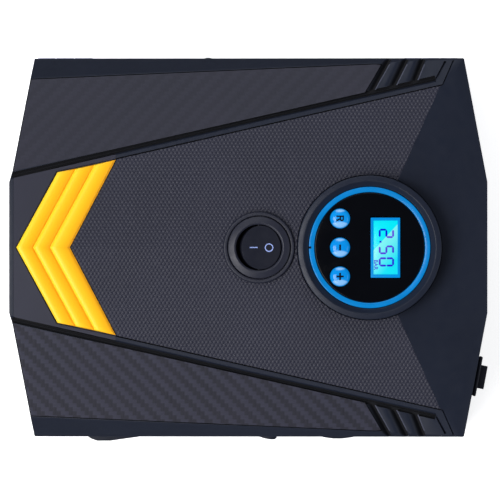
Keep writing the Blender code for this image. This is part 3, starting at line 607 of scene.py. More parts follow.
CASE_ABS_PAINTED_SHADE = case_abs_with_painted_shade()
BEZEL = plastic("bezel_abs", (29, 34, 47), rough=0.34, vary=0.06, bump=0.08, depth=0.02,
                grain=1600, spec=0.18)
SWITCH = plastic("switch_abs", (34, 36, 48), rough=0.4, vary=0.05, bump=0.1, depth=0.02, spec=0.27)
ROCKER = plastic("rocker_abs", (26, 28, 38), rough=0.34, vary=0.05, bump=0.06, depth=0.02,
                 grain=1500, spec=0.25)
# a pale plastic laid along the louvres' edges as a painted highlight
EDGE_HIGHLIGHT = plastic("painted_edge_highlight", (60, 63, 77), rough=0.36, vary=0.1, bump=0.1, depth=0.01, spec=0.3)
HINGE_GREY = plastic("hinge_grey", (188, 186, 212), rough=0.45, vary=0.05)
RUBBER_GREY = plastic("grey_rubber", (92, 88, 104), rough=0.75, vary=0.1, grain=1400, bump=0.35,
                      depth=0.05, spec=0.3)
RUBBER = plastic("black_rubber", (30, 30, 34), rough=0.7, vary=0.12, grain=1300, bump=0.3,
                 depth=0.05, spec=0.3)
NYLON = plastic("white_nylon", (226, 222, 210), rough=0.45, vary=0.03, grain=900, bump=0.08)
MARK = plastic("print_lilac", (142, 160, 216), rough=0.5, vary=0.03, grain=3000, bump=0.05, spec=0.2)
MARK_BLACK = plastic("print_black", (4, 6, 16), rough=0.6, vary=0.05, grain=3000, bump=0.05, spec=0.08)


def dimple_material():
    k = Mat("dimpled_abs", 0.0, 0.25)
    fine = k.noise(2600, 3.0, 0.6)
    big = k.noise(38, 3.0)
    rgb = (38, 39, 52)
    tone = k.mix(k.span(big, 0, 1), rgba(rgb, 0.93), rgba(rgb, 1.08))
    return k.put(Base_Color=tone, Roughness=k.span(fine, 0.38, 0.52),
                 Normal=k.bump(fine, 0.15, 0.02))


DIMPLE = dimple_material()

TOW = 1.484


def weave_material(name, s, contrast, rgb):
    """Twill weave: tows in two directions, each with its own tone, fibre lines and gloss."""
    k = Mat(name, 0.0, 0.25)
    sep = k.node("ShaderNodeSeparateXYZ", [(0, k.co)])
    x, y = sep.outputs[0], sep.outputs[1]
    w = TOW * MM
    i = k.math("FLOOR", k.math("DIVIDE", y, w))
    j = k.math("FLOOR", k.math("DIVIDE", x, w))
    d = k.math("SUBTRACT", i, k.math("MULTIPLY", j, float(s)))
    over = k.math("LESS_THAN", k.math("FLOORED_MODULO", d, 4.0), 1.5)
    fibre_y = k.noise(1.0, 2.0, 0.5, k.scaled((5200.0, 260.0, 400.0)))
    fibre_x = k.noise(1.0, 2.0, 0.5, k.scaled((260.0, 5200.0, 400.0)))
    fibre = k.node("ShaderNodeMix", [(0, over), (2, fibre_x), (3, fibre_y)],
                   data_type="FLOAT").outputs[0]
    big = k.noise(45, 2.0)
    light = k.mix(k.span(fibre, 0, 1), rgba(rgb, 1 + 0.4 * contrast), rgba(rgb, 1 + 1.3 * contrast))
    dark = k.mix(k.span(fibre, 0, 1), rgba(rgb, 1 - 1.1 * contrast), rgba(rgb, 1 - 0.4 * contrast))
    tone = k.mix(over, dark, light)
    tone = k.mix(k.span(big, 0.0, 0.12), tone, rgba((50, 46, 62)))
    rough = k.node("ShaderNodeMix", [(0, over), (2, 0.43), (3, 0.4)], data_type="FLOAT").outputs[0]
    return k.put(Base_Color=tone, Roughness=rough, Normal=k.bump(fibre, 0.18, 0.02))


def yellow_material():
    k = Mat("yellow_abs", 0.0, 0.28)
    sep = k.node("ShaderNodeSeparateXYZ", [(0, k.co)])
    v = k.math("SUBTRACT", sep.outputs[1], k.math("MULTIPLY", k.math("ABSOLUTE", sep.outputs[0]), 0.54))
    f = k.math("DIVIDE", k.math("ADD", v, 0.0861), 0.0198)
    # painted shading: each rib lighter at its left edge and deeper orange towards its right, as if lit from the
    # left
    light, mid, deep = rgba((255, 218, 48)), rgba((254, 198, 28)), rgba((248, 170, 14))
    stops = []
    edges = [(-86.1 + 86.1) / 19.8, (-79.8 + 86.1) / 19.8, (-73.6 + 86.1) / 19.8, 1.0]
    for a, b in zip(edges, edges[1:]):
        stops += [(a + 0.004, light), (a + (b - a) * 0.3, mid), (b - 0.012, deep)]
    tone = k.ramp(f, stops)
    fine = k.noise(2400, 2.0)
    tone = k.mix(k.span(k.noise(70, 2.0), 0.0, 0.10), tone, rgba((255, 188, 30)))
    return k.put(Base_Color=tone, Roughness=k.span(fine, 0.34, 0.44), Normal=k.bump(fine, 0.06, 0.02))


def gloss_material(name, rgb, rough=0.08, spec=0.5, vary=0.1, coat=0.0):
    k = Mat(name, 0.0, spec)
    smear = k.noise(90, 4.0, 0.6)
    k.b.inputs["Coat Weight"].default_value = coat
    k.b.inputs["Coat Roughness"].default_value = 0.05
    tone = k.mix(k.span(smear, 0, 1), rgba(rgb, 1 - vary), rgba(rgb, 1 + vary))
    return k.put(Base_Color=tone, Roughness=k.span(smear, rough * 0.7, rough * 1.5),
                 Normal=k.bump(k.noise(160, 1.0), 0.03, 0.02))


def glow_material(name, rgb, share, rough=0.2, coat=0.12, spec=0.2):
    k = Mat(name, 0.0, spec)
    cloud = k.noise(120, 2.0)
    k.b.inputs["Coat Weight"].default_value = coat
    k.b.inputs["Coat Roughness"].default_value = 0.06
    k.b.inputs["Emission Strength"].default_value = share
    em = k.mix(k.span(cloud, 0, 1), rgba(rgb, 0.93), rgba(rgb, 1.07))
    tone = k.mix(k.span(cloud, 0, 1), rgba(rgb, 0.9 * (1 - share)), rgba(rgb, 1.05 * (1 - share)))
    k.put(Emission_Color=em)
    return k.put(Base_Color=tone, Roughness=k.span(cloud, rough * 0.8, rough * 1.2))


GLOSS = gloss_material("gloss_black", (4, 5, 9), 0.08, 0.15)


def key_material():
    """A clear blue cap lit from inside, with lighter bands along two of its sides painted in by object position as
    painted reflections of the lamps.
    """
    k = Mat("key_blue", 0.0, 0.2)
    sep = k.node("ShaderNodeSeparateXYZ", [(0, k.co)])
    x = k.math("ADD", sep.outputs[0], 0.005375)
    x = k.math("SUBTRACT", k.math("FLOORED_MODULO", x, 0.01075), 0.005375)
    x = k.math("DIVIDE", x, KEY_R * MM)
    y = k.math("DIVIDE", k.math("SUBTRACT", sep.outputs[1], KEY_Y * MM), KEY_R * MM)
    r2 = k.math("ADD", k.math("MULTIPLY", x, x), k.math("MULTIPLY", y, y))
    # painted reflections of the lamps: two lighter bands set by object position, near two sides of each cap
    wave = k.math("MULTIPLY", k.math("MULTIPLY", y, y), -0.32)
    near = k.span(k.math("ADD", x, wave), 0.0, 1.0, 0.26, 0.4)
    near = k.math("MULTIPLY", near, k.span(r2, 1.0, 0.0, 0.72, 0.92))
    far = k.math("MULTIPLY", k.span(k.math("ADD", x, k.math("MULTIPLY", wave, -1.4)), 1.0, 0.0, -0.72, -0.6),
                 k.span(r2, 1.0, 0.0, 0.74, 0.9))
    painted_reflection_bands = k.math("MULTIPLY", k.math("MAXIMUM", near, k.math("MULTIPLY", far, 1.1)), 0.6)
    cloud = k.noise(120, 2.0)
    base = k.mix(k.span(cloud, 0, 1), rgba((2, 138, 224)), rgba((10, 148, 232)))
    em = k.mix(painted_reflection_bands, base, rgba((168, 216, 255)))
    k.b.inputs["Coat Weight"].default_value = 0.1
    k.b.inputs["Coat Roughness"].default_value = 0.06
    k.b.inputs["Emission Strength"].default_value = 0.55
    k.put(Emission_Color=em)
    return k.put(Base_Color=k.mix(0.55, em, rgba((0, 20, 40))), Roughness=k.span(cloud, 0.12, 0.17))


KEY = key_material()
RING = glow_material("ring_blue", (0, 128, 203), 0.6, 0.25)
FRAME_BLUE = glow_material("frame_blue", (0, 142, 222), 0.7, 0.4, 0.0, 0.05)


def lcd_material():
    k = Mat("lcd_cyan", 0.0, 0.15)
    sep = k.node("ShaderNodeSeparateXYZ", [(0, k.co)])
    # the brighter half beyond a diagonal across the window is a painted reflection, lightest along the diagonal
    edge = k.math("ADD", k.math("MULTIPLY", k.math("SUBTRACT", 0.0553, sep.outputs[1]), 1.083), -0.00864)
    side = k.math("GREATER_THAN", sep.outputs[0], edge)
    cloud = k.noise(150, 2.0)
    a = k.mix(k.span(cloud, 0, 1), rgba((0, 230, 243)), rgba((0, 237, 250)))
    b = k.mix(k.span(k.math("SUBTRACT", sep.outputs[0], edge), 0.0, 1.0, 0.0005, 0.0125),
              rgba((128, 240, 240)), rgba((20, 226, 243)))
    tone = k.mix(side, a, b)
    k.b.inputs["Emission Strength"].default_value = 0.8
    k.b.inputs["Coat Weight"].default_value = 0.05
    k.put(Emission_Color=tone)
    return k.put(Base_Color=k.mix(0.8, tone, rgba((0, 8, 12))), Roughness=k.span(cloud, 0.22, 0.3))


def digit_material():
    """Liquid-crystal digits, deep blue, turning violet under the painted reflection in one half of the window."""
    k = Mat("lcd_digit", 0.0, 0.05)
    sep = k.node("ShaderNodeSeparateXYZ", [(0, k.co)])
    edge = k.math("ADD", k.math("MULTIPLY", k.math("SUBTRACT", 0.0553, sep.outputs[1]), 1.083), -0.00864)
    past = k.math("SUBTRACT", sep.outputs[0], edge)
    # painted reflection: past the diagonal the digits turn a lighter violet, lightest along it
    violet = k.mix(k.span(past, 0.0, 1.0, 0.001, 0.011), rgba((104, 78, 214)), rgba((36, 26, 208)))
    tone = k.mix(k.span(past, 0.0, 1.0, -0.0002, 0.0002), rgba((0, 0, 212)), violet)
    cloud = k.noise(400, 2.0)
    tone = k.mix(k.span(cloud, 0.0, 0.12), tone, rgba((30, 40, 220)))
    k.b.inputs["Emission Strength"].default_value = 0.6
    k.put(Emission_Color=tone)
    return k.put(Base_Color=k.mix(0.6, tone, rgba((0, 0, 10))), Roughness=k.span(cloud, 0.5, 0.6))


LCD = lcd_material()
DIGIT = digit_material()


def metal(name, rgb, rough, stretch, bump=0.15, vary=0.06, metallic=1.0):
    k = Mat(name, metallic)
    lines = k.noise(1.0, 4.0, 0.6, k.scaled(stretch))
    cloud = k.noise(60, 3.0)
    tone = k.mix(k.span(cloud, 0, 1), rgba(rgb, 1 - vary), rgba(rgb, 1 + vary))
    return k.put(Base_Color=tone, Roughness=k.span(lines, rough * 0.8, rough * 1.3),
                 Normal=k.bump(lines, bump, 0.01))


STEEL = metal("steel", (178, 179, 182), 0.3, (3000.0, 120.0, 3000.0))
ALU = metal("cast_aluminium", (176, 178, 181), 0.48, (1400.0, 1400.0, 1400.0), 0.35, 0.08)
BRASS = metal("brass", (205, 168, 92), 0.28, (2600.0, 2600.0, 90.0))
MIRROR = metal("reflector", (214, 216, 220), 0.12, (300.0, 300.0, 300.0), 0.05, 0.03)


def board_material():
    k = Mat("board_green")
    cells = k.node("ShaderNodeTexBrick", [("Vector", k.co), ("Scale", 330.0), ("Mortar Size", 0.05),
                                          ("Color1", (1, 1, 1, 1)), ("Color2", (0.8, 0.8, 0.8, 1)),
                                          ("Mortar", (0, 0, 0, 1))]).outputs["Fac"]
    cloud = k.noise(300, 3.0)
    tone = k.mix(k.span(cloud, 0, 1), rgba((14, 74, 46)), rgba((28, 104, 66)))
    tone = k.mix(k.math("MULTIPLY", cells, 0.5), tone, rgba((46, 132, 88)))
    return k.put(Base_Color=tone, Roughness=k.span(cloud, 0.3, 0.5), Normal=k.bump(cells, 0.2, 0.03))


BOARD = board_material()


def lens_material():
    k = Mat("clear_lens", 0.0, 0.5, 1.49)
    k.b.inputs["Transmission Weight"].default_value = 0.85
    cloud = k.noise(200, 2.0)
    tone = k.mix(k.span(cloud, 0, 1), rgba((222, 230, 238)), rgba((238, 243, 248)))
    return k.put(Base_Color=tone, Roughness=k.span(cloud, 0.05, 0.12))


LENS = lens_material()
CARBON_R = weave_material("carbon_weave", 1, 0.42, (37, 38, 50))
# the left panel's copy is darker and its weave fainter: painted shade; its weave also runs the other way
CARBON_L_SHADED = weave_material("carbon_weave_left_shaded", -1, 0.09, (34, 35, 47))
YELLOW = yellow_material()

SLOT_MATERIAL = {
    "black_abs": ABS, "dimpled_abs": DIMPLE, "carbon_weave": CARBON_R, "yellow_abs": YELLOW,
    "blue_clear": KEY, "gloss_black": GLOSS, "lcd_cyan": LCD, "grey_rubber": RUBBER_GREY,
    "black_rubber": RUBBER, "steel": STEEL, "cast_aluminium": ALU, "brass": BRASS,
    "white_nylon": NYLON, "board_green": BOARD, "clear_lens": LENS, "reflector": MIRROR,
}
NODE_SLOT = {}
for row in frame["record"].get("materials", []):
    for n in row.get("nodes", []):
        NODE_SLOT[n] = row["slot"]
for n, ob in frame["nodes"].items():
    mat = SLOT_MATERIAL.get(NODE_SLOT.get(n, ""), ABS)
    if not ob.data.materials:
        ob.data.materials.append(mat)
    for i in range(len(ob.data.materials)):
        ob.data.materials[i] = mat


# ======================================================================
# upper shell
# ======================================================================
upper = bevel(case_block(0.0, PARTING_Z, 0.0, 0.6), 0.3, 3, 24)
cut(upper, case_block(WALL, PARTING_Z - 1, WALL))
# the opening for the centre panel: its edge is a hairline past the chevrons and lies under the
# trench before them
cut(upper, cut(prism(HOLE + [(-x, y) for x, y in reversed(HOLE)], 50, 90), under(ROOF, PANEL_T + GAP)))
for s in (1, -1):
    pts = [(28.0, -89.2), (62.8, -82.6)] + inset(WOVEN, -GAP)[1:]
    pts = pts if s > 0 else mirror_x(pts)
    cut(upper, cut(prism(pts, 40, 90), under(SIDE, PANEL_T + GAP)))


def trench_x(y):
    """The middle of the trench between the rail and the woven panel."""
    return 27.4 + 0.2308 * (y + 84.8) if y < 0.56 else 47.1 + 0.2265 * (y - 0.56)


def side_or_bevel(x, y):
    return min(plane_z(p, x, y) for p in (SIDE, BEVEL, ROOF))


def louvre_start(y_in, y_out):
    """Where the louvre's edge meets the trench."""
    x = 58.0
    for _ in range(6):
        x = trench_x(y_in + (y_out - y_in) * (x - 57.6) / (68.3 - 57.6)) + 0.95
    return x


def louvre(y_in, y_out, s):
    """A curved ramp that falls away to a crisp, slightly broken edge."""
    start_x, end_x = louvre_start(y_in, y_out) - 0.4, 72.5
    rings = []
    for t, depth in ((0.0, 2.1), (0.55, 2.5), (1.0, 2.8)):
        x = start_x + (end_x - start_x) * t
        y = y_in + (y_out - y_in) * (x - 57.6) / (68.3 - 57.6)
        ring = [(x, y + 0.9, 5.0), (x, y + 0.46, 0.03), (x, y + 0.1, -0.13), (x, y, -0.4),
                (x, y, -depth), (x, y - 0.85, -depth)]
        for dy, f in ((1.25, 0.88), (1.7, 0.68), (2.3, 0.42), (3.0, 0.18), (3.8, 0.04)):
            ring.append((x, y - dy, -depth * f))
        ring += [(x, y - 4.6, 0.05), (x, y - 4.6, 5.0)]
        rings.append([(a * s * MM, b * MM, (plane_z(SIDE, a, b) + h) * MM) for a, b, h in ring])
    m = len(rings[0])
    vs = [v for r in rings for v in r]
    fs = [tuple(range(m)), tuple(range(len(vs) - 1, len(vs) - m - 1, -1))]
    for a in range(len(rings) - 1):
        for i in range(m):
            j = (i + 1) % m
            fs.append((a * m + i, a * m + j, (a + 1) * m + j, (a + 1) * m + i))
    return from_data("louvre", vs, fs)


def louvre_edge_highlight(y_in, y_out, s):
    """A pale strip along the broken edge of a louvre, a painted highlight for the light the edge catches."""
    rings = []
    for t in (0.0, 0.35, 0.7, 1.0):
        x = louvre_start(y_in, y_out) + (68.0 - louvre_start(y_in, y_out)) * t
        y = y_in + (y_out - y_in) * (x - 57.6) / (68.3 - 57.6)
        ring = [(x, y + 0.46, 0.01), (x, y + 0.26, 0.03), (x, y + 0.1, -0.06), (x, y - 0.01, -0.26),
                (x, y + 0.2, -0.5), (x, y + 0.46, -0.3)]
        rings.append([(a * s * MM, b * MM, (plane_z(SIDE, a, b) + h) * MM) for a, b, h in ring])
    m = len(rings[0])
    vs = [v for r in rings for v in r]
    fs = [tuple(range(m)), tuple(range(len(vs) - 1, len(vs) - m - 1, -1))]
    for a in range(len(rings) - 1):
        for i in range(m):
            j = (i + 1) % m
            fs.append((a * m + i, a * m + j, (a + 1) * m + j, (a + 1) * m + i))
    return from_data("edge", vs, fs)


TRENCH = [(-1.4, 0.5), (-1.3, 0.02), (-1.0, -0.22), (-0.75, -0.6), (-0.68, -1.9), (-0.12, -1.9),
          (-0.04, -1.35), (0.14, -1.35), (0.22, -1.9), (1.15, -1.9), (1.15, 0.5)]
TRENCH_END = [(-0.5, 0.5), (-0.42, 0.02), (-0.3, -0.12), (-0.26, -0.9), (0.26, -0.9), (0.3, -0.12),
              (0.42, 0.02), (0.5, 0.5)]
HAIR = [(-0.3, 0.5), (-0.24, 0.02), (-0.17, -0.1), (-0.15, -0.8), (0.15, -0.8), (0.17, -0.1),
        (0.24, 0.02), (0.3, 0.5)]
for s in (1, -1):
    for y_in, y_out in LOUVRES:
        cut(upper, louvre(y_in, y_out, s))
    # the trench between the rail and the woven panel, turning the corner past the louvres
    cut(upper, channel([(trench_x(-89.5), -89.5), (47.1, 0.56), (59.7, 56.2), (62.7, 69.4)],
                       TRENCH, s, side_or_bevel))
    cut(upper, channel([(62.3, 69.3), (63.1, 69.9), (68.3, 72.7), (72.0, 74.7)], TRENCH_END, s,
                       side_or_bevel))
    # the hairline round the end of the rail
    cut(upper, channel([(59.9, 71.0), (60.5, 72.1), (68.7, 75.75), (72.0, 77.2)], HAIR, s,
                       side_or_bevel))

for sx in (1, -1):
    for sy in (1, -1):
        x, y = FOOT[0] * sx, FOOT[1] * sy
        top = SIDE[0] + SIDE[1] * y + SIDE[2] * (abs(x) + 3) - WALL + 0.6
        join(upper, rod((x, y, DECK_Z[1] + GAP), (x, y, top), 3.6, seg=24))
        cut(upper, rod((x, y, DECK_Z[1] - 1), (x, y, PARTING_Z), 1.7, seg=16))
cut(upper, rod((0, DISPLAY_Y, 40), (0, DISPLAY_Y, 90), BEZEL_R + GAP, seg=96),
    rod((0, SWITCH_Y, 60), (0, SWITCH_Y, 90), 10.2, seg=48),
    prism(fillet([(-17.0, 80), (17.0, 80), (17.0, 95), (-17.0, 95)], 0.0), 46.0, 60.0))
WALL_DIR = Vector((HALF_W - 24.3, 80.0 - 88.7, 0)).normalized()
WALL_N = Vector((-WALL_DIR.y, WALL_DIR.x, 0))
LAMP_SW = Vector((47.7, 88.7 + (47.7 - 24.3) * (80.0 - 88.7) / (HALF_W - 24.3), 50.4))
LAMP_FRAME = Matrix(((WALL_DIR.x, WALL_N.x, 0, LAMP_SW.x * MM),
                     (WALL_DIR.y, WALL_N.y, 0, LAMP_SW.y * MM),
                     (0, 0, 1, LAMP_SW.z * MM), (0, 0, 0, 1)))
cut(upper, place(box((-6.6, -8, -9.5), (6.6, 4, 9.5)), LAMP_FRAME))
# the case top carries painted shade in its trench, hairlines and louvres
piece(upper, "case_top", "housing", CASE_ABS_PAINTED_SHADE, ["upper_shell"], 28)
# pale strips along the louvres' edges: painted highlights
for s, side in ((1, "right"), (-1, "left")):
    piece(merge(*[louvre_edge_highlight(a, b, s) for a, b in LOUVRES]), "louvre_edge_highlights_" + side, "housing",
          EDGE_HIGHLIGHT, (), 60)

# ======================================================================
# centre panel: raised dots in a staggered field, folded along the ridge
# ======================================================================
DOT_A, DOT_B = 1.452, 1.212


def dot_field():
    """A closed slab whose top is a honeycomb of cells, each rising to a round dot."""
    index, verts, faces = {}, [], []

    def edge_y(x):
        return RIB_Y0[3] + (RIB_Y1[3] - RIB_Y0[3]) * abs(x) / RIB_X1[3]

    def vert(x, y, h):
        key = (round(x * 1000), round(y * 1000))
        if key not in index:
            index[key] = len(verts)
            verts.append((x * MM, y * MM, (RIDGE_Z + ROOF[2] * abs(x) + h - 0.04) * MM))
        return index[key]

    # cell corners of the staggered lattice, measured from the dot's centre
    tip = DOT_B / 2 + DOT_A ** 2 / (8 * DOT_B)
    low = DOT_B - tip
    corner = [(tip, 0.0), (low, DOT_A / 2), (-low, DOT_A / 2), (-tip, 0.0), (-low, -DOT_A / 2),
              (low, -DOT_A / 2)]
    rows = int(61.5 / DOT_B) + 1
    for r in range(-rows, rows + 1):
        x0 = r * DOT_B
        off = 0.0 if r % 2 == 0 else DOT_A / 2
        for k in range(int(-88.6 / DOT_A) - 1, int(72.4 / DOT_A) + 2):
            y0 = k * DOT_A + off
            if abs(x0) > 27.6 + (y0 + 87.2) * 0.2063 + 2.2 or y0 > 44.4 + 0.456 * abs(x0) + 2.0:
                continue
            rise = max(0.0, min(1.0, (y0 - edge_y(x0) - 0.3) / 0.8))
            outer = [vert(x0 + dx, y0 + dy, 0.0) for dx, dy in corner]
            if rise <= 0:
                faces.append(tuple(outer))
                continue
            n = 6
            rings = []
            for rad, h in ((0.56, 0.02), (0.42, 0.13), (0.24, 0.2)):
                ring = []
                for q in range(n):
                    dx, dy = corner[q]
                    l = math.hypot(dx, dy)
                    ring.append(vert(x0 + dx / l * rad * 0.84, y0 + dy / l * rad * 1.12, h * rise))
                rings.append(ring)
            for a_, b_ in zip([outer] + rings, rings):
                for q in range(n):
                    p = (q + 1) % n
                    faces.append((a_[q], a_[p], b_[p], b_[q]))
            faces.append(tuple(rings[-1]))
    bm = bmesh.new()
    vs = [bm.verts.new(v) for v in verts]
    for f in faces:
        bm.faces.new([vs[i] for i in f])
    rim = [e for e in bm.edges if e.is_boundary]
    down = bmesh.ops.extrude_edge_only(bm, edges=rim)
    lows = [v for v in down["geom"] if isinstance(v, bmesh.types.BMVert)]
    for v in lows:
        v.co.z = 60.0 * MM
    bottom = [e for e in bm.edges if e.is_boundary]
    bmesh.ops.contextual_create(bm, geom=bottom)
    return new_object("dots", bm)


centre = dot_field()
half_plan = [(trench_x(-87.15) - 1.1, -87.15), (trench_x(-49.32) - 1.1, -49.32), (32.58, -49.32),
             (60.0, 71.3), (0.0, 43.95)]
panel_plan = half_plan + [(-x, y) for x, y in reversed(half_plan[:-1])]
common(centre, prism(panel_plan, 55, 90))
cut(centre, under(ROOF, PANEL_T))
cut(centre, rod((0, DISPLAY_Y, 40), (0, DISPLAY_Y, 90), BEZEL_R + GAP, seg=128),
    cut(prism(V_GROWN, 60, 90), under(ROOF, CHEVRON_BASE + GAP)))
collar = turned(fillet([(11.8, 72.9), (13.4, 72.9), (13.35, 74.3), (12.95, 74.9), (11.8, 74.9)],
                       [0, 0, 0.15, 0.25, 0.2], 3), (0, SWITCH_Y, 0), seg=96)
cut(centre, rod((0, SWITCH_Y, 60), (0, SWITCH_Y, 90), 10.2, seg=64),
    rod((0, SWITCH_Y, RIDGE_Z - 0.4), (0, SWITCH_Y, 90), 12.4, seg=96))
piece(centre, "dotted_panel", "housing", DIMPLE, ["centre_panel"], 60)
piece(collar, "switch_collar", "housing", SWITCH, (), 40)


# ======================================================================
# woven side panels
# ======================================================================
def weave_field(s):
    step = TOW / 4
    x = np.arange(int(27 / step), int(69 / step) + 1) * step
    if s < 0:
        x = -x[::-1]
    y = np.arange(int(-88 / step), int(51 / step) + 1) * step
    gx, gy = np.meshgrid(x, y, indexing="ij")
    i, j = np.floor(gy / TOW + 1e-6), np.floor(gx / TOW + 1e-6)
    over = np.mod(i - s * j, 4) < 1.5
    fy, fx = gy / TOW - i, gx / TOW - j
    across = np.where(over, fx, fy)
    h = 0.025 * (1 - np.abs(2 * across - 1) ** 3)
    along = np.where(over, np.mod(i - s * j, 4) + fy, np.mod(i - s * j - 2, 4) + 0 * fx)
    h = h + np.where(over, 0.02 * np.sin(np.pi * np.clip(along / 2, 0, 1)), 0.0)
    z = SIDE[0] + SIDE[1] * gy + SIDE[2] * np.abs(gx) + h - 0.08
    return heightfield(x, y, z, 40.0, "weave")


for s, name, mat in ((1, "woven_panel_right", CARBON_R), (-1, "woven_panel_left", CARBON_L_SHADED)):
    pts = fillet(WOVEN if s > 0 else mirror_x(WOVEN), 0.25, 3)
    p = weave_field(s)
    common(p, prism(pts, 30, 90))
    cut(p, under(SIDE, PANEL_T))
    piece(p, name, "housing", mat, ["side_panel_right" if s > 0 else "side_panel_left"],
          50)

# ======================================================================
# chevron trim
# ======================================================================
RIB = [(0.0, -0.2), (0.012, 0.3), (0.035, 0.62), (0.075, 0.86), (0.13, 1.02), (0.21, 1.12),
       (0.32, 1.14), (0.46, 1.06), (0.6, 0.92), (0.74, 0.72), (0.86, 0.46), (0.94, 0.2), (0.975, -0.2)]


def chevron_ring(t):
    """Cross-section a share t of the way from the tip to the arm's end."""
    ys = [a + (b - a) * t for a, b in zip(RIB_Y0, RIB_Y1)]
    xs = [b * t for b in RIB_X1]
    out = []
    for k in range(3):
        for f, h in RIB:
            x, y = xs[k] + (xs[k + 1] - xs[k]) * f, ys[k] + (ys[k + 1] - ys[k]) * f
            out.append((x, y, RIDGE_Z + ROOF[2] * abs(x) + h))
    x, y = xs[3], ys[3]
    out.append((x, y, RIDGE_Z + ROOF[2] * x - 0.2))
    out.append((x, y, RIDGE_Z + ROOF[2] * x - CHEVRON_BASE))
    out.append((xs[0], ys[0], RIDGE_Z + ROOF[2] * xs[0] - CHEVRON_BASE))
    return out


bm = bmesh.new()
ts = [0.0, 0.012, 0.05, 0.2, 0.4, 0.6, 0.8, 0.95, 0.988, 1.0]
rings = []
for t in ts:
    pts = chevron_ring(t)
    if t == 1.0:      # the arm's end falls away in a small round
        pts = [(x, y, z - (0.22 if z > RIDGE_Z + ROOF[2] * x + 0.2 else 0.0)) for x, y, z in pts]
    rings.append([bm.verts.new(Vector(p) * MM) for p in pts])
for a, b in zip(rings, rings[1:]):
    for i in range(len(a)):
        j = (i + 1) % len(a)
        bm.faces.new([a[i], a[j], b[j], b[i]])
bm.faces.new(list(reversed(rings[-1])))
chevron = new_object("chevron", bm)
mod = chevron.modifiers.new("mirror", "MIRROR")
mod.use_axis = (True, False, False)
mod.merge_threshold = 0.00001
apply(chevron)
bm = bmesh.new()
bm.from_mesh(chevron.data)
bmesh.ops.remove_doubles(bm, verts=bm.verts[:], dist=1e-6)
bmesh.ops.recalc_face_normals(bm, faces=bm.faces[:])
bm.to_mesh(chevron.data)
bm.free()
piece(chevron, "chevron_ribs", "housing", YELLOW, ["chevron_trim"], 50)

# ======================================================================
# lower shell
# ======================================================================
lower = bevel(prism(fillet(full_outline(0.4), 0.7, 5), RIM_Z, PARTING_Z - GAP), 0.4, 3, 40)
cut(lower, prism(full_outline(WALL), DECK_Z[1], PARTING_Z + 1),
    prism(full_outline(WALL), RIM_Z - 1, DECK_Z[0]))
lip_top = cut(prism(full_outline(WALL + GAP), PARTING_Z - 1.5, PARTING_Z + 2),
              prism(full_outline(WALL + 1.9), PARTING_Z - 2, PARTING_Z + 3))
lip_seat = cut(prism(full_outline(1.5), PARTING_Z - 4, PARTING_Z - 1.0),
               prism(full_outline(WALL + 1.9), PARTING_Z - 5, PARTING_Z + 3))
join(lower, lip_seat, lip_top)
alcove = bevel(box((-44.5, 16.0, DECK_Z[0] + 0.5), (44.5, 76.5, 40.5)), 1.0, 3)
join(lower, alcove)
cut(lower, box((-42.0, 18.5, DECK_Z[0] - 1), (42.0, 74.0, 38.0)))
for sx in (1, -1):
    for sy in (1, -1):
        x, y = FOOT[0] * sx, FOOT[1] * sy
        column = turned(fillet([(0, 3.3), (7.0, 3.3), (7.0, 21.0), (7.8, DECK_Z[0] + 0.6),
                                (0, DECK_Z[0] + 0.6)], [0, 0.3, 0.6, 0, 0], 3), (x, y, 0),
                        seg=48, closed=False)
        join(lower, column)
        cut(lower, rod((x, y, 3.0), (x, y, 18.0), 3.7, seg=32),
            rod((x, y, 17.0), (x, y, 26.0), 1.7, seg=16))
for pts in ([(69.5, -61.0), (71.2, -59.0), (72.1, -56.5), (72.1, -51.7), (71.3, -46.0),
             (70.6, -41.0), (69.5, -37.7)],
            [(69.5, 25.4), (70.8, 28.0), (71.3, 31.5), (71.3, 35.0), (70.8, 38.8),
             (69.5, 41.4)]):
    grip = bevel(prism(fillet(pts, 2.0, 4), 12.0, 30.0), 0.5, 3, 50)
    join(lower, grip)
join(lower, bevel(prism([(-69.5, -16.6), (-70.8, -16.0), (-70.8, -14.0), (-69.5, -13.4)],
                        20.0, 30.0), 0.3, 2, 40))
cut(lower, rod((-55, -15, 20), (-55, -15, 27), 5.3, seg=32),
    rod((-55, 8, 20), (-55, 8, 27), 5.3, seg=32))
cut(lower, box((64.0, -2.0, 6.7), (74.0, 9.2, 10.4)))
KNUCKLES = []
for y0, y1 in HINGE_SPANS:
    third = (y1 - y0 - 2 * GAP) / 3
    mid = (y0 + third + GAP, y1 - third - GAP)
    KNUCKLES.append(((y0, y0 + third), mid, (y1 - third, y1)))
for a, b, c in KNUCKLES:
    cut(lower, box((-75, a[0] - GAP, 0), (HX + 2.9, c[1] + GAP, HZ + 2.9)))
    join(lower, box((HX - 1.0, b[0] + 0.2, HZ), (HX + 1.8, b[1] - 0.2, HZ + 4.0)))
    cut(lower, rod((HX, a[0] - 3, HZ), (HX, c[1] + 3, HZ), 2.08, seg=32))
cut(lower, rod((30.0, -81.0, 45.0), (30.0, -72.0, 45.0), 15.2, seg=48))
piece(lower, "case_base", "housing", ABS, ["lower_shell"], 35)


def knuckle(y0, y1, name, body):
    """One round eye of the base hinge."""
    prof = fillet([(1.1, y0), (2.0, y0), (2.0, y1), (1.1, y1)], 0.15, 3)
    ob = turned([(r, h) for r, h in prof], (0, 0, 0), "Y", 32)
    place(ob, Matrix.Translation((HX * MM, 0, HZ * MM)))
    return piece(ob, name, body, HINGE_GREY, (), 40)


for i, (a, b, c) in enumerate(KNUCKLES):
    knuckle(b[0], b[1], f"hinge_eye_case_{i + 1}", "housing")
    knuckle(a[0], a[1], f"hinge_eye_cover_{2 * i + 1}", "base_cover")
    knuckle(c[0], c[1], f"hinge_eye_cover_{2 * i + 2}", "base_cover")

# ======================================================================
# base cover with its hook, and the sliding latch
# ======================================================================
outline = full_outline(1.0)
outline = [(max(x, HX + 3.2), y) for x, y in outline]
cover = bevel(prism(fillet(outline, 1.0, 4), 3.4, 6.0), 0.35, 3, 40)
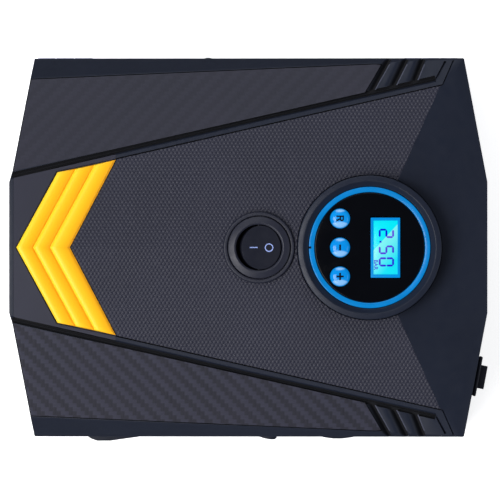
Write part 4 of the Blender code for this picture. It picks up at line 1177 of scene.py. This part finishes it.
# a shallow panel on the underside, with finger bars
cut(cover, bevel(prism(fillet([(-40, -66), (40, -66), (40, 66), (-40, 66)], 4.0, 6), 2.0, 3.75), 0.2, 1, 40))
for k in range(9):
    y = 34 + 3.2 * k
    join(cover, bevel(box((-16 + 0.9 * abs(k - 4), y - 0.6, 3.45), (16 - 0.9 * abs(k - 4), y + 0.6, 4.2)),
                      0.25, 2, 40))
for sx in (1, -1):
    for sy in (1, -1):
        cut(cover, rod((FOOT[0] * sx, FOOT[1] * sy, 2), (FOOT[0] * sx, FOOT[1] * sy, 7), 8.7, seg=48))
for a, b, c in KNUCKLES:
    for k in (a, c):
        join(cover, box((HX + 0.2, k[0] + 0.2, 3.45), (HX + 5, k[1] - 0.2, 5.6)))
    cut(cover, rod((HX, a[0] - 3, HZ), (HX, c[1] + 3, HZ), 2.08, seg=32))
join(cover, box((57.5, 4.2, 5.5), (59.5, 9.0, 12.6)))
join(cover, bevel(box((59.0, 4.2, 10.6), (64.5, 9.0, 12.6)), 0.3, 2, 40))
for x in (-30, 0, 30):
    join(cover, bevel(box((x - 0.8, -60, 5.5), (x + 0.8, 12, 7.0)), 0.2, 2, 40))
piece(cover, "base_lid", "base_cover", ABS, ["base_cover"], 35)

latch = bevel(prism(fillet([(70.6, 3.9), (71.3, 5.4), (71.8, 8.2), (71.8, 9.6), (71.3, 10.5),
                            (70.6, 10.6)], 0.6, 3), 4.6, 13.0), 0.25, 2, 50)
for k in range(4):
    zc = 6.6 + 1.6 * k
    cut(latch, box((71.45, 3.0, zc - 0.3), (73.0, 11.5, zc + 0.3)))
join(latch, box((65.5, 4.2, 7.0), (70.9, 8.6, 10.1)), box((60.6, 4.2, 7.6), (66.0, 8.6, 10.1)))
piece(latch, "latch_pad", "cover_latch", ABS, ["cover_latch"], 35)

for k, (sx, sy) in enumerate(((1, 1), (1, -1), (-1, 1), (-1, -1))):
    lo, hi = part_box(f"foot_{k + 1}")
    cx, cy = (lo.x + hi.x) / 2 / MM, (lo.y + hi.y) / 2 / MM
    foot = turned(fillet([(0, 8.0), (3.3, 8.0), (3.3, 3.0), (7.0, 3.0), (6.3, 0.0), (4.6, 0.0),
                          (4.2, 0.5), (0, 0.5)], [0, 0.4, 0.2, 0.4, 0.7, 0.2, 0.2, 0], 4),
                  (cx, cy, 0), seg=64, closed=False)
    piece(foot, f"rubber_foot_{k + 1}", "housing", RUBBER_GREY, [f"foot_{k + 1}"], 40)

# ======================================================================
# display
# ======================================================================
D = (0, DISPLAY_Y, 0)
bezel = turned(fillet([(24.6, 77.6), (26.75, 77.25), (26.75, 64.5), (29.0, 64.5), (29.0, 62.5),
                       (23.2, 62.5), (23.2, 72.2), (19.6, 72.2), (19.6, 73.6), (22.8, 73.6),
                       (22.8, 75.8), (23.1, 76.0)],
                      [0.5, 0.5, 0, 0, 0, 0, 0, 0, 0.1, 0.1, 0.1, 0.15], 5), D, seg=160)
piece(bezel, "bezel_ring", "housing", BEZEL, ["display_bezel"], 40)
ring = turned(fillet([(22.5, 76.1), (22.5, 73.9), (20.55, 73.9), (20.55, 75.95)],
                     [0.35, 0, 0, 0.3], 4), D, seg=160)
cut(ring, box((-0.4, DISPLAY_Y - 23, 73.0), (0.4, DISPLAY_Y - 21.6, 78)))
piece(ring, "glow_ring", "housing", RING, ["light_ring"], 40)

lens = turned(fillet([(0, 75.75), (20.3, 75.75), (20.3, 73.9), (0, 73.9)], [0, 0.3, 0, 0], 4),
              D, seg=160, closed=False)
cut(lens, prism(fillet([(-11.5, 45.05), (11.5, 45.05), (11.5, 56.55), (-11.5, 56.55)], 0.25, 3), 70, 80))
for x in KEY_X:
    cut(lens, rod((x, KEY_Y, 70), (x, KEY_Y, 80), KEY_R + 0.28, seg=64))
piece(lens, "display_face", "housing", GLOSS, ["display_lens"], 40)

for x, name, mark in zip(KEY_X, ("key_r", "key_minus", "key_plus"), "R-+"):
    key = turned(fillet([(0, 77.0), (1.6, 76.93), (2.7, 76.6), (3.35, 76.1), (3.7, 75.4), (3.7, 71.8),
                         (1.5, 71.8), (1.5, 68.9), (0, 68.9)],
                        [0, 1.5, 1.2, 0.8, 0.5, 0, 0, 0, 0], 4), (x, KEY_Y, 0), seg=72, closed=False)
    if mark == "R":
        a, b = x - 1.1, KEY_Y
        g = prism(fillet([(a, b - 0.15), (a + 2.1, b - 0.15), (a + 2.1, b + 1.42), (a, b + 1.42)],
                         [0, 0.75, 0.75, 0], 5), 74, 80)
        cut(g, prism(fillet([(a + 0.55, b + 0.37), (a + 1.55, b + 0.37), (a + 1.55, b + 0.92),
                             (a + 0.55, b + 0.92)], [0, 0.27, 0.27, 0], 4), 73, 81))
        join(g, box((a, b - 1.42, 74), (a + 0.55, b + 1.42, 80)),
             prism([(a + 0.85, b + 0.1), (a + 1.6, b - 1.42), (a + 2.25, b - 1.42), (a + 1.5, b + 0.1)], 74, 80))
    elif mark == "-":
        g = bevel(box((x - 1.1, KEY_Y - 0.34, 74), (x + 1.1, KEY_Y + 0.34, 80)), 0.05, 1)
    else:
        g = join(box((x - 1.35, KEY_Y - 0.33, 74), (x + 1.35, KEY_Y + 0.33, 80)),
                 box((x - 0.33, KEY_Y - 1.35, 74), (x + 0.33, KEY_Y + 1.35, 80)))
    inlay(key, g, 0.04)
    piece(g, name + "_mark", name, MARK_BLACK, (), 40)
    piece(key, name + "_cap", name, KEY, [name], 60)

window = prism(fillet([(-11.05, 45.35), (11.2, 45.35), (11.2, 56.2), (-11.05, 56.2)], 0.2, 3), 70.5, 76.0)
bevel(window, 0.15, 2, 50)
cut(window, box((-10.0, 46.3, 70), (10.0, 55.3, 77)))
piece(window, "lcd_surround", "housing", FRAME_BLUE, ["lcd_frame"], 40)
glass = bevel(box((-9.98, 46.32, 73.6), (9.98, 55.28, 75.5)), 0.03, 2)
piece(glass, "lcd_window", "housing", LCD, ["lcd_glass"], 40)


def bar(p, q, w, z0, z1):
    """A display segment with pointed ends."""
    p, q = Vector(p), Vector(q)
    u = (q - p).normalized()
    n = Vector((-u.y, u.x)) * w / 2
    pts = [p, p + u * w / 2 + n, q - u * w / 2 + n, q, q - u * w / 2 - n, p + u * w / 2 - n]
    return prism([(v.x, v.y) for v in pts], z0, z1)


SEGMENTS = {"0": "abcdef", "2": "abged", "5": "afgcd"}


def digit(ch, x0, x1, y0, y1):
    w, g = 0.72, 0.05
    ym = (y0 + y1) / 2
    a = {"a": ((x0, y1), (x1, y1)), "g": ((x0, ym), (x1, ym)), "d": ((x0, y0), (x1, y0)),
         "f": ((x0, ym), (x0, y1)), "b": ((x1, ym), (x1, y1)), "e": ((x0, y0), (x0, ym)),
         "c": ((x1, y0), (x1, ym))}
    out = []
    for k in SEGMENTS[ch]:
        p, q = Vector(a[k][0]), Vector(a[k][1])
        u = (q - p).normalized() * g
        out.append(bar(p + u, q - u, w, 75.48, 75.56))
    return out


parts = digit("2", -6.6, -3.85, 48.65, 53.6) + digit("5", -0.4, 2.15, 48.65, 53.6) \
    + digit("0", 4.0, 6.7, 48.65, 53.6) + [box((-2.5, 48.55, 75.48), (-1.8, 49.3, 75.56))]
piece(merge(*parts), "lcd_digits", "housing", DIGIT, (), 40)
unit = glyph("BAR", 2.05, (6.5, 47.25), 75.48, 75.56, bold=0.03)
piece(unit, "lcd_unit", "housing", DIGIT, (), 40)

# ======================================================================
# round power switch
# ======================================================================
S = (0, SWITCH_Y, 0)
body = turned(fillet([(0, 64.9), (8.5, 64.9), (8.5, 76.15), (9.1, 76.6), (11.5, 75.8),
                      (11.5, 74.4), (9.9, 74.4), (9.9, 62.6), (0, 62.6)],
                     [0, 0, 0.3, 0.7, 0.35, 0.2, 0, 0, 0], 5), S, seg=128, closed=False)
for x in (-3, 3):
    join(body, box((x - 0.4, SWITCH_Y - 2.2, 55.0), (x + 0.4, SWITCH_Y + 2.2, 63.2)))
cut(body, rod((-9.6, SWITCH_Y, PIVOT_Z), (9.6, SWITCH_Y, PIVOT_Z), 1.2, seg=20))
piece(body, "switch_bezel", "housing", SWITCH, ["power_switch_body"], 40)


def rocker_solid(top, rise, half_y, half_x, low, round_end, pin_r, pin_x):
    """A rocker about the local X axis, its two top faces rising outward."""
    if round_end:
        ob = turned([(0, low), (half_x, low), (half_x, 14), (0, 14)], (0, 0, 0), seg=128, closed=False)
        place(ob, Matrix.Diagonal((1, half_y / half_x, 1, 1)))
    else:
        ob = bevel(box((-half_x, -half_y, low), (half_x, half_y, 14)), 0.5, 3)
    e = half_y + 2
    pts = [(-e, 20), (-e, top + e * rise)]
    for k in range(-14, 15):      # the two faces run into each other in a soft hollow
        t = k / 14 * (half_y + 1.0)
        pts.append((t, top + rise * (math.hypot(t, 0.5 * half_y) - 0.22 * half_y)))
    pts += [(e, top + e * rise), (e, 20)]
    wedge = prism(pts, -20, 20)
    place(wedge, Matrix(((0, 0, 1, 0), (1, 0, 0, 0), (0, 1, 0, 0), (0, 0, 0, 1))))
    cut(ob, wedge)
    bevel(ob, 0.3, 3, 50)
    join(ob, rod((-pin_x, 0, 0), (pin_x, 0, 0), pin_r, seg=24))
    return ob


RISE = math.tan(math.radians(ROCKER_TILT))
rocker = rocker_solid(4.9, RISE, 7.3, 8.1, -4.5, True, 0.9, 9.2)
mark_i = bevel(box((-0.2, -4.3, 3), (0.2, -1.3, 9)), 0.05, 1)
inlay(rocker, mark_i, 0.04)
mark_o = turned([(1.18, 3), (1.58, 3), (1.58, 9), (1.18, 9)], (0.05, 3.0, 0), seg=64)
inlay(rocker, mark_o, 0.04)
tilt = Matrix.Translation((0, SWITCH_Y * MM, PIVOT_Z * MM)) @ Matrix.Rotation(math.radians(-ROCKER_TILT), 4, "X")
for ob, name, mat, nodes, slot in ((rocker, "rocker_disc", ROCKER, ["power_rocker"], "gloss_black"),
                                   (mark_i, "rocker_mark_i", MARK, (), "gloss_black"),
                                   (mark_o, "rocker_mark_o", MARK, (), "gloss_black")):
    place(ob, tilt)
    piece(ob, name, "power_rocker", mat, nodes, 40)

# ======================================================================
# lamp and its switch in the end wall
# ======================================================================
lamp_body = bevel(box((-7.5, 0.3, -10.5), (7.5, 1.5, 10.5)), 0.45, 3)
join(lamp_body, box((-6.3, -15, -9.2), (6.3, 0.6, 9.2)))
cut(lamp_body, box((-4.75, -9, -8.1), (4.75, 4, 8.1)),
    rod((-5.9, -2.0, 0), (5.9, -2.0, 0), 1.1, seg=20))
piece(place(lamp_body, LAMP_FRAME), "lamp_switch_frame", "housing", SWITCH, ["lamp_switch_body"],
      40)
lr = rocker_solid(4.35, math.tan(math.radians(7)), 7.2, 4.35, -4.0, False, 0.8, 5.6)
li = bevel(box((-0.3, -5.4, 3), (0.3, -2.4, 9)), 0.05, 1)
inlay(lr, li, 0.04)
lo_ = turned([(1.0, 3), (1.45, 3), (1.45, 9), (1.0, 9)], (0, 3.9, 0), seg=48)
inlay(lr, lo_, 0.04)
to_wall = Matrix(((1, 0, 0, 0), (0, 0, 1, 0), (0, -1, 0, 0), (0, 0, 0, 1)))
set_lamp = LAMP_FRAME @ Matrix.Translation((0, -2.0 * MM, 0)) @ to_wall @ Matrix.Rotation(math.radians(-7), 4, "X")
for ob, name, mat, nodes in ((lr, "lamp_rocker_cap", ROCKER, ["lamp_rocker"]),
                             (li, "lamp_mark_i", MARK, ()), (lo_, "lamp_mark_o", MARK, ())):
    place(ob, set_lamp)
    piece(ob, name, "lamp_rocker", mat, nodes, 40)

window = bevel(box((-16.7, 86.3, 46.3), (16.7, 88.5, 59.7)), 0.5, 3)
for k in range(-10, 11):
    cut(window, rod((k * 1.5, 85.9, 46.5), (k * 1.5, 85.9, 59.5), 0.62, seg=12))
piece(window, "lamp_window", "housing", LENS, ["lamp_lens"], 40)
refl = box((-19, 76, 44.5), (19, 85.2, 61.5))
for x in (-10, 0, 10):
    cone = rod((x, 78.0, 53), (x, 90, 53), 2.4, 7.6, seg=48)
    cut(refl, cone)
    cut(refl, rod((x, 75, 53), (x, 80, 53), 2.4, seg=32))
piece(refl, "lamp_bowls", "housing", MIRROR, ["lamp_reflector"], 40)

# hose union and cord gland in the deck
union = turned(fillet([(2.5, 32.6), (4.0, 27.4), (7.2, 27.4), (7.2, 24.8), (5.0, 24.8), (5.0, 13.0),
                       (1.6, 12.0), (1.6, 32.6)], [0.2, 0, 0.3, 0.3, 0, 0.5, 0.3, 0], 3),
               (-55, -15, 0), seg=64)
piece(union, "union_brass", "housing", BRASS, ["air_hose_union"], 40)
gland = turned(fillet([(2.8, 27.4), (7.2, 27.4), (7.2, 24.8), (5.0, 24.8), (5.0, 21.7),
                       (7.0, 21.7), (5.6, 15.0), (2.8, 15.0)], [0.3, 0.4, 0.4, 0, 0, 0.5, 0.5, 0.3], 3),
               (-55, 8, 0), seg=64)
piece(gland, "gland_rubber", "housing", RUBBER, ["power_cord_gland"], 40)

for ob in TEMP:
    if ob.name in bpy.data.objects:
        bpy.data.objects.remove(ob, do_unlink=True)

# ======================================================================
# stage, light and camera
# ======================================================================
floor = from_data("floor", [(-3, -3, 0), (3, -3, 0), (3, 3, 0), (-3, 3, 0)], [(0, 1, 2, 3)])
fm = Mat("floor_paper")
fn = fm.noise(6, 2.0)
fm.put(Base_Color=fm.mix(fm.span(fn, 0, 1), (0.9, 0.9, 0.9, 1), (0.93, 0.93, 0.93, 1)), Roughness=0.9)
fm.b.inputs["Emission Color"].default_value = (1, 1, 1, 1)
fm.b.inputs["Emission Strength"].default_value = 0.75
# the floor is seen from above only, so that a view from below shows the underside
seen = fm.nt.nodes.new("ShaderNodeMixShader")
clear = fm.nt.nodes.new("ShaderNodeBsdfTransparent")
geo = fm.nt.nodes.new("ShaderNodeNewGeometry")
fm.nt.links.new(geo.outputs["Backfacing"], seen.inputs[0])
fm.nt.links.new(fm.b.outputs[0], seen.inputs[1])
fm.nt.links.new(clear.outputs[0], seen.inputs[2])
fm.nt.links.new(seen.outputs[0], fm.nt.nodes["Material Output"].inputs["Surface"])
floor.data.materials.append(fm.m)
floor.visible_glossy = False

world = bpy.data.worlds.new("studio")
bpy.context.scene.world = world
world.use_nodes = True
bg = world.node_tree.nodes["Background"]
bg.inputs[0].default_value = (0.9, 0.93, 1.0, 1)
bg.inputs[1].default_value = 0.14
# pale surroundings for the camera, dim ones for the light on the object
path = world.node_tree.nodes.new("ShaderNodeLightPath")
pale = world.node_tree.nodes.new("ShaderNodeBackground")
pale.inputs[0].default_value = (0.93, 0.94, 0.96, 1)
pick = world.node_tree.nodes.new("ShaderNodeMixShader")
world.node_tree.links.new(path.outputs["Is Camera Ray"], pick.inputs[0])
world.node_tree.links.new(bg.outputs[0], pick.inputs[1])
world.node_tree.links.new(pale.outputs[0], pick.inputs[2])
world.node_tree.links.new(pick.outputs[0], world.node_tree.nodes["World Output"].inputs[0])


def softbox(name, at, aim, size, power, colour=(1, 1, 1)):
    li = bpy.data.lights.new(name, "AREA")
    li.shape = "RECTANGLE"
    li.size, li.size_y = size
    li.energy = power
    li.color = colour
    ob = bpy.data.objects.new(name, li)
    bpy.context.scene.collection.objects.link(ob)
    ob.location = at
    ob.rotation_euler = (Vector(aim) - Vector(at)).to_track_quat("-Z", "Y").to_euler()
    ob.visible_camera = False
    return ob


softbox("top_left", (0.12, -0.72, 1.5), (0, 0, 0.07), (0.8, 0.8), 19.5, (1.0, 0.99, 1.0))
softbox("key_light", (0.95, -0.9, 1.2), (0, 0, 0.07), (0.9, 0.9), 12.5, (1.0, 0.99, 1.0))
softbox("fill_back", (-1.3, -0.2, 1.1), (0, 0, 0.07), (1.1, 1.1), 8, (0.95, 0.97, 1.0))
softbox("rim_right", (0.2, 1.6, 1.0), (0, 0, 0.07), (1.0, 0.8), 5, (0.95, 0.97, 1.0))

bpy.context.scene.view_settings.view_transform = "Standard"

cam = bpy.data.cameras.new("camera")
cam.sensor_width = 36.0
cam.clip_end = 50
DIST = 7.0
FIELD = 0.1855
cam.lens = 36.0 * (DIST - 0.070) / FIELD
cam_ob = bpy.data.objects.new("camera", cam)
bpy.context.scene.collection.objects.link(cam_ob)
cam_ob.location = (0.00093, 0.00056, DIST)
cam_ob.rotation_euler = (0, 0, math.pi / 2)
bpy.context.scene.camera = cam_ob
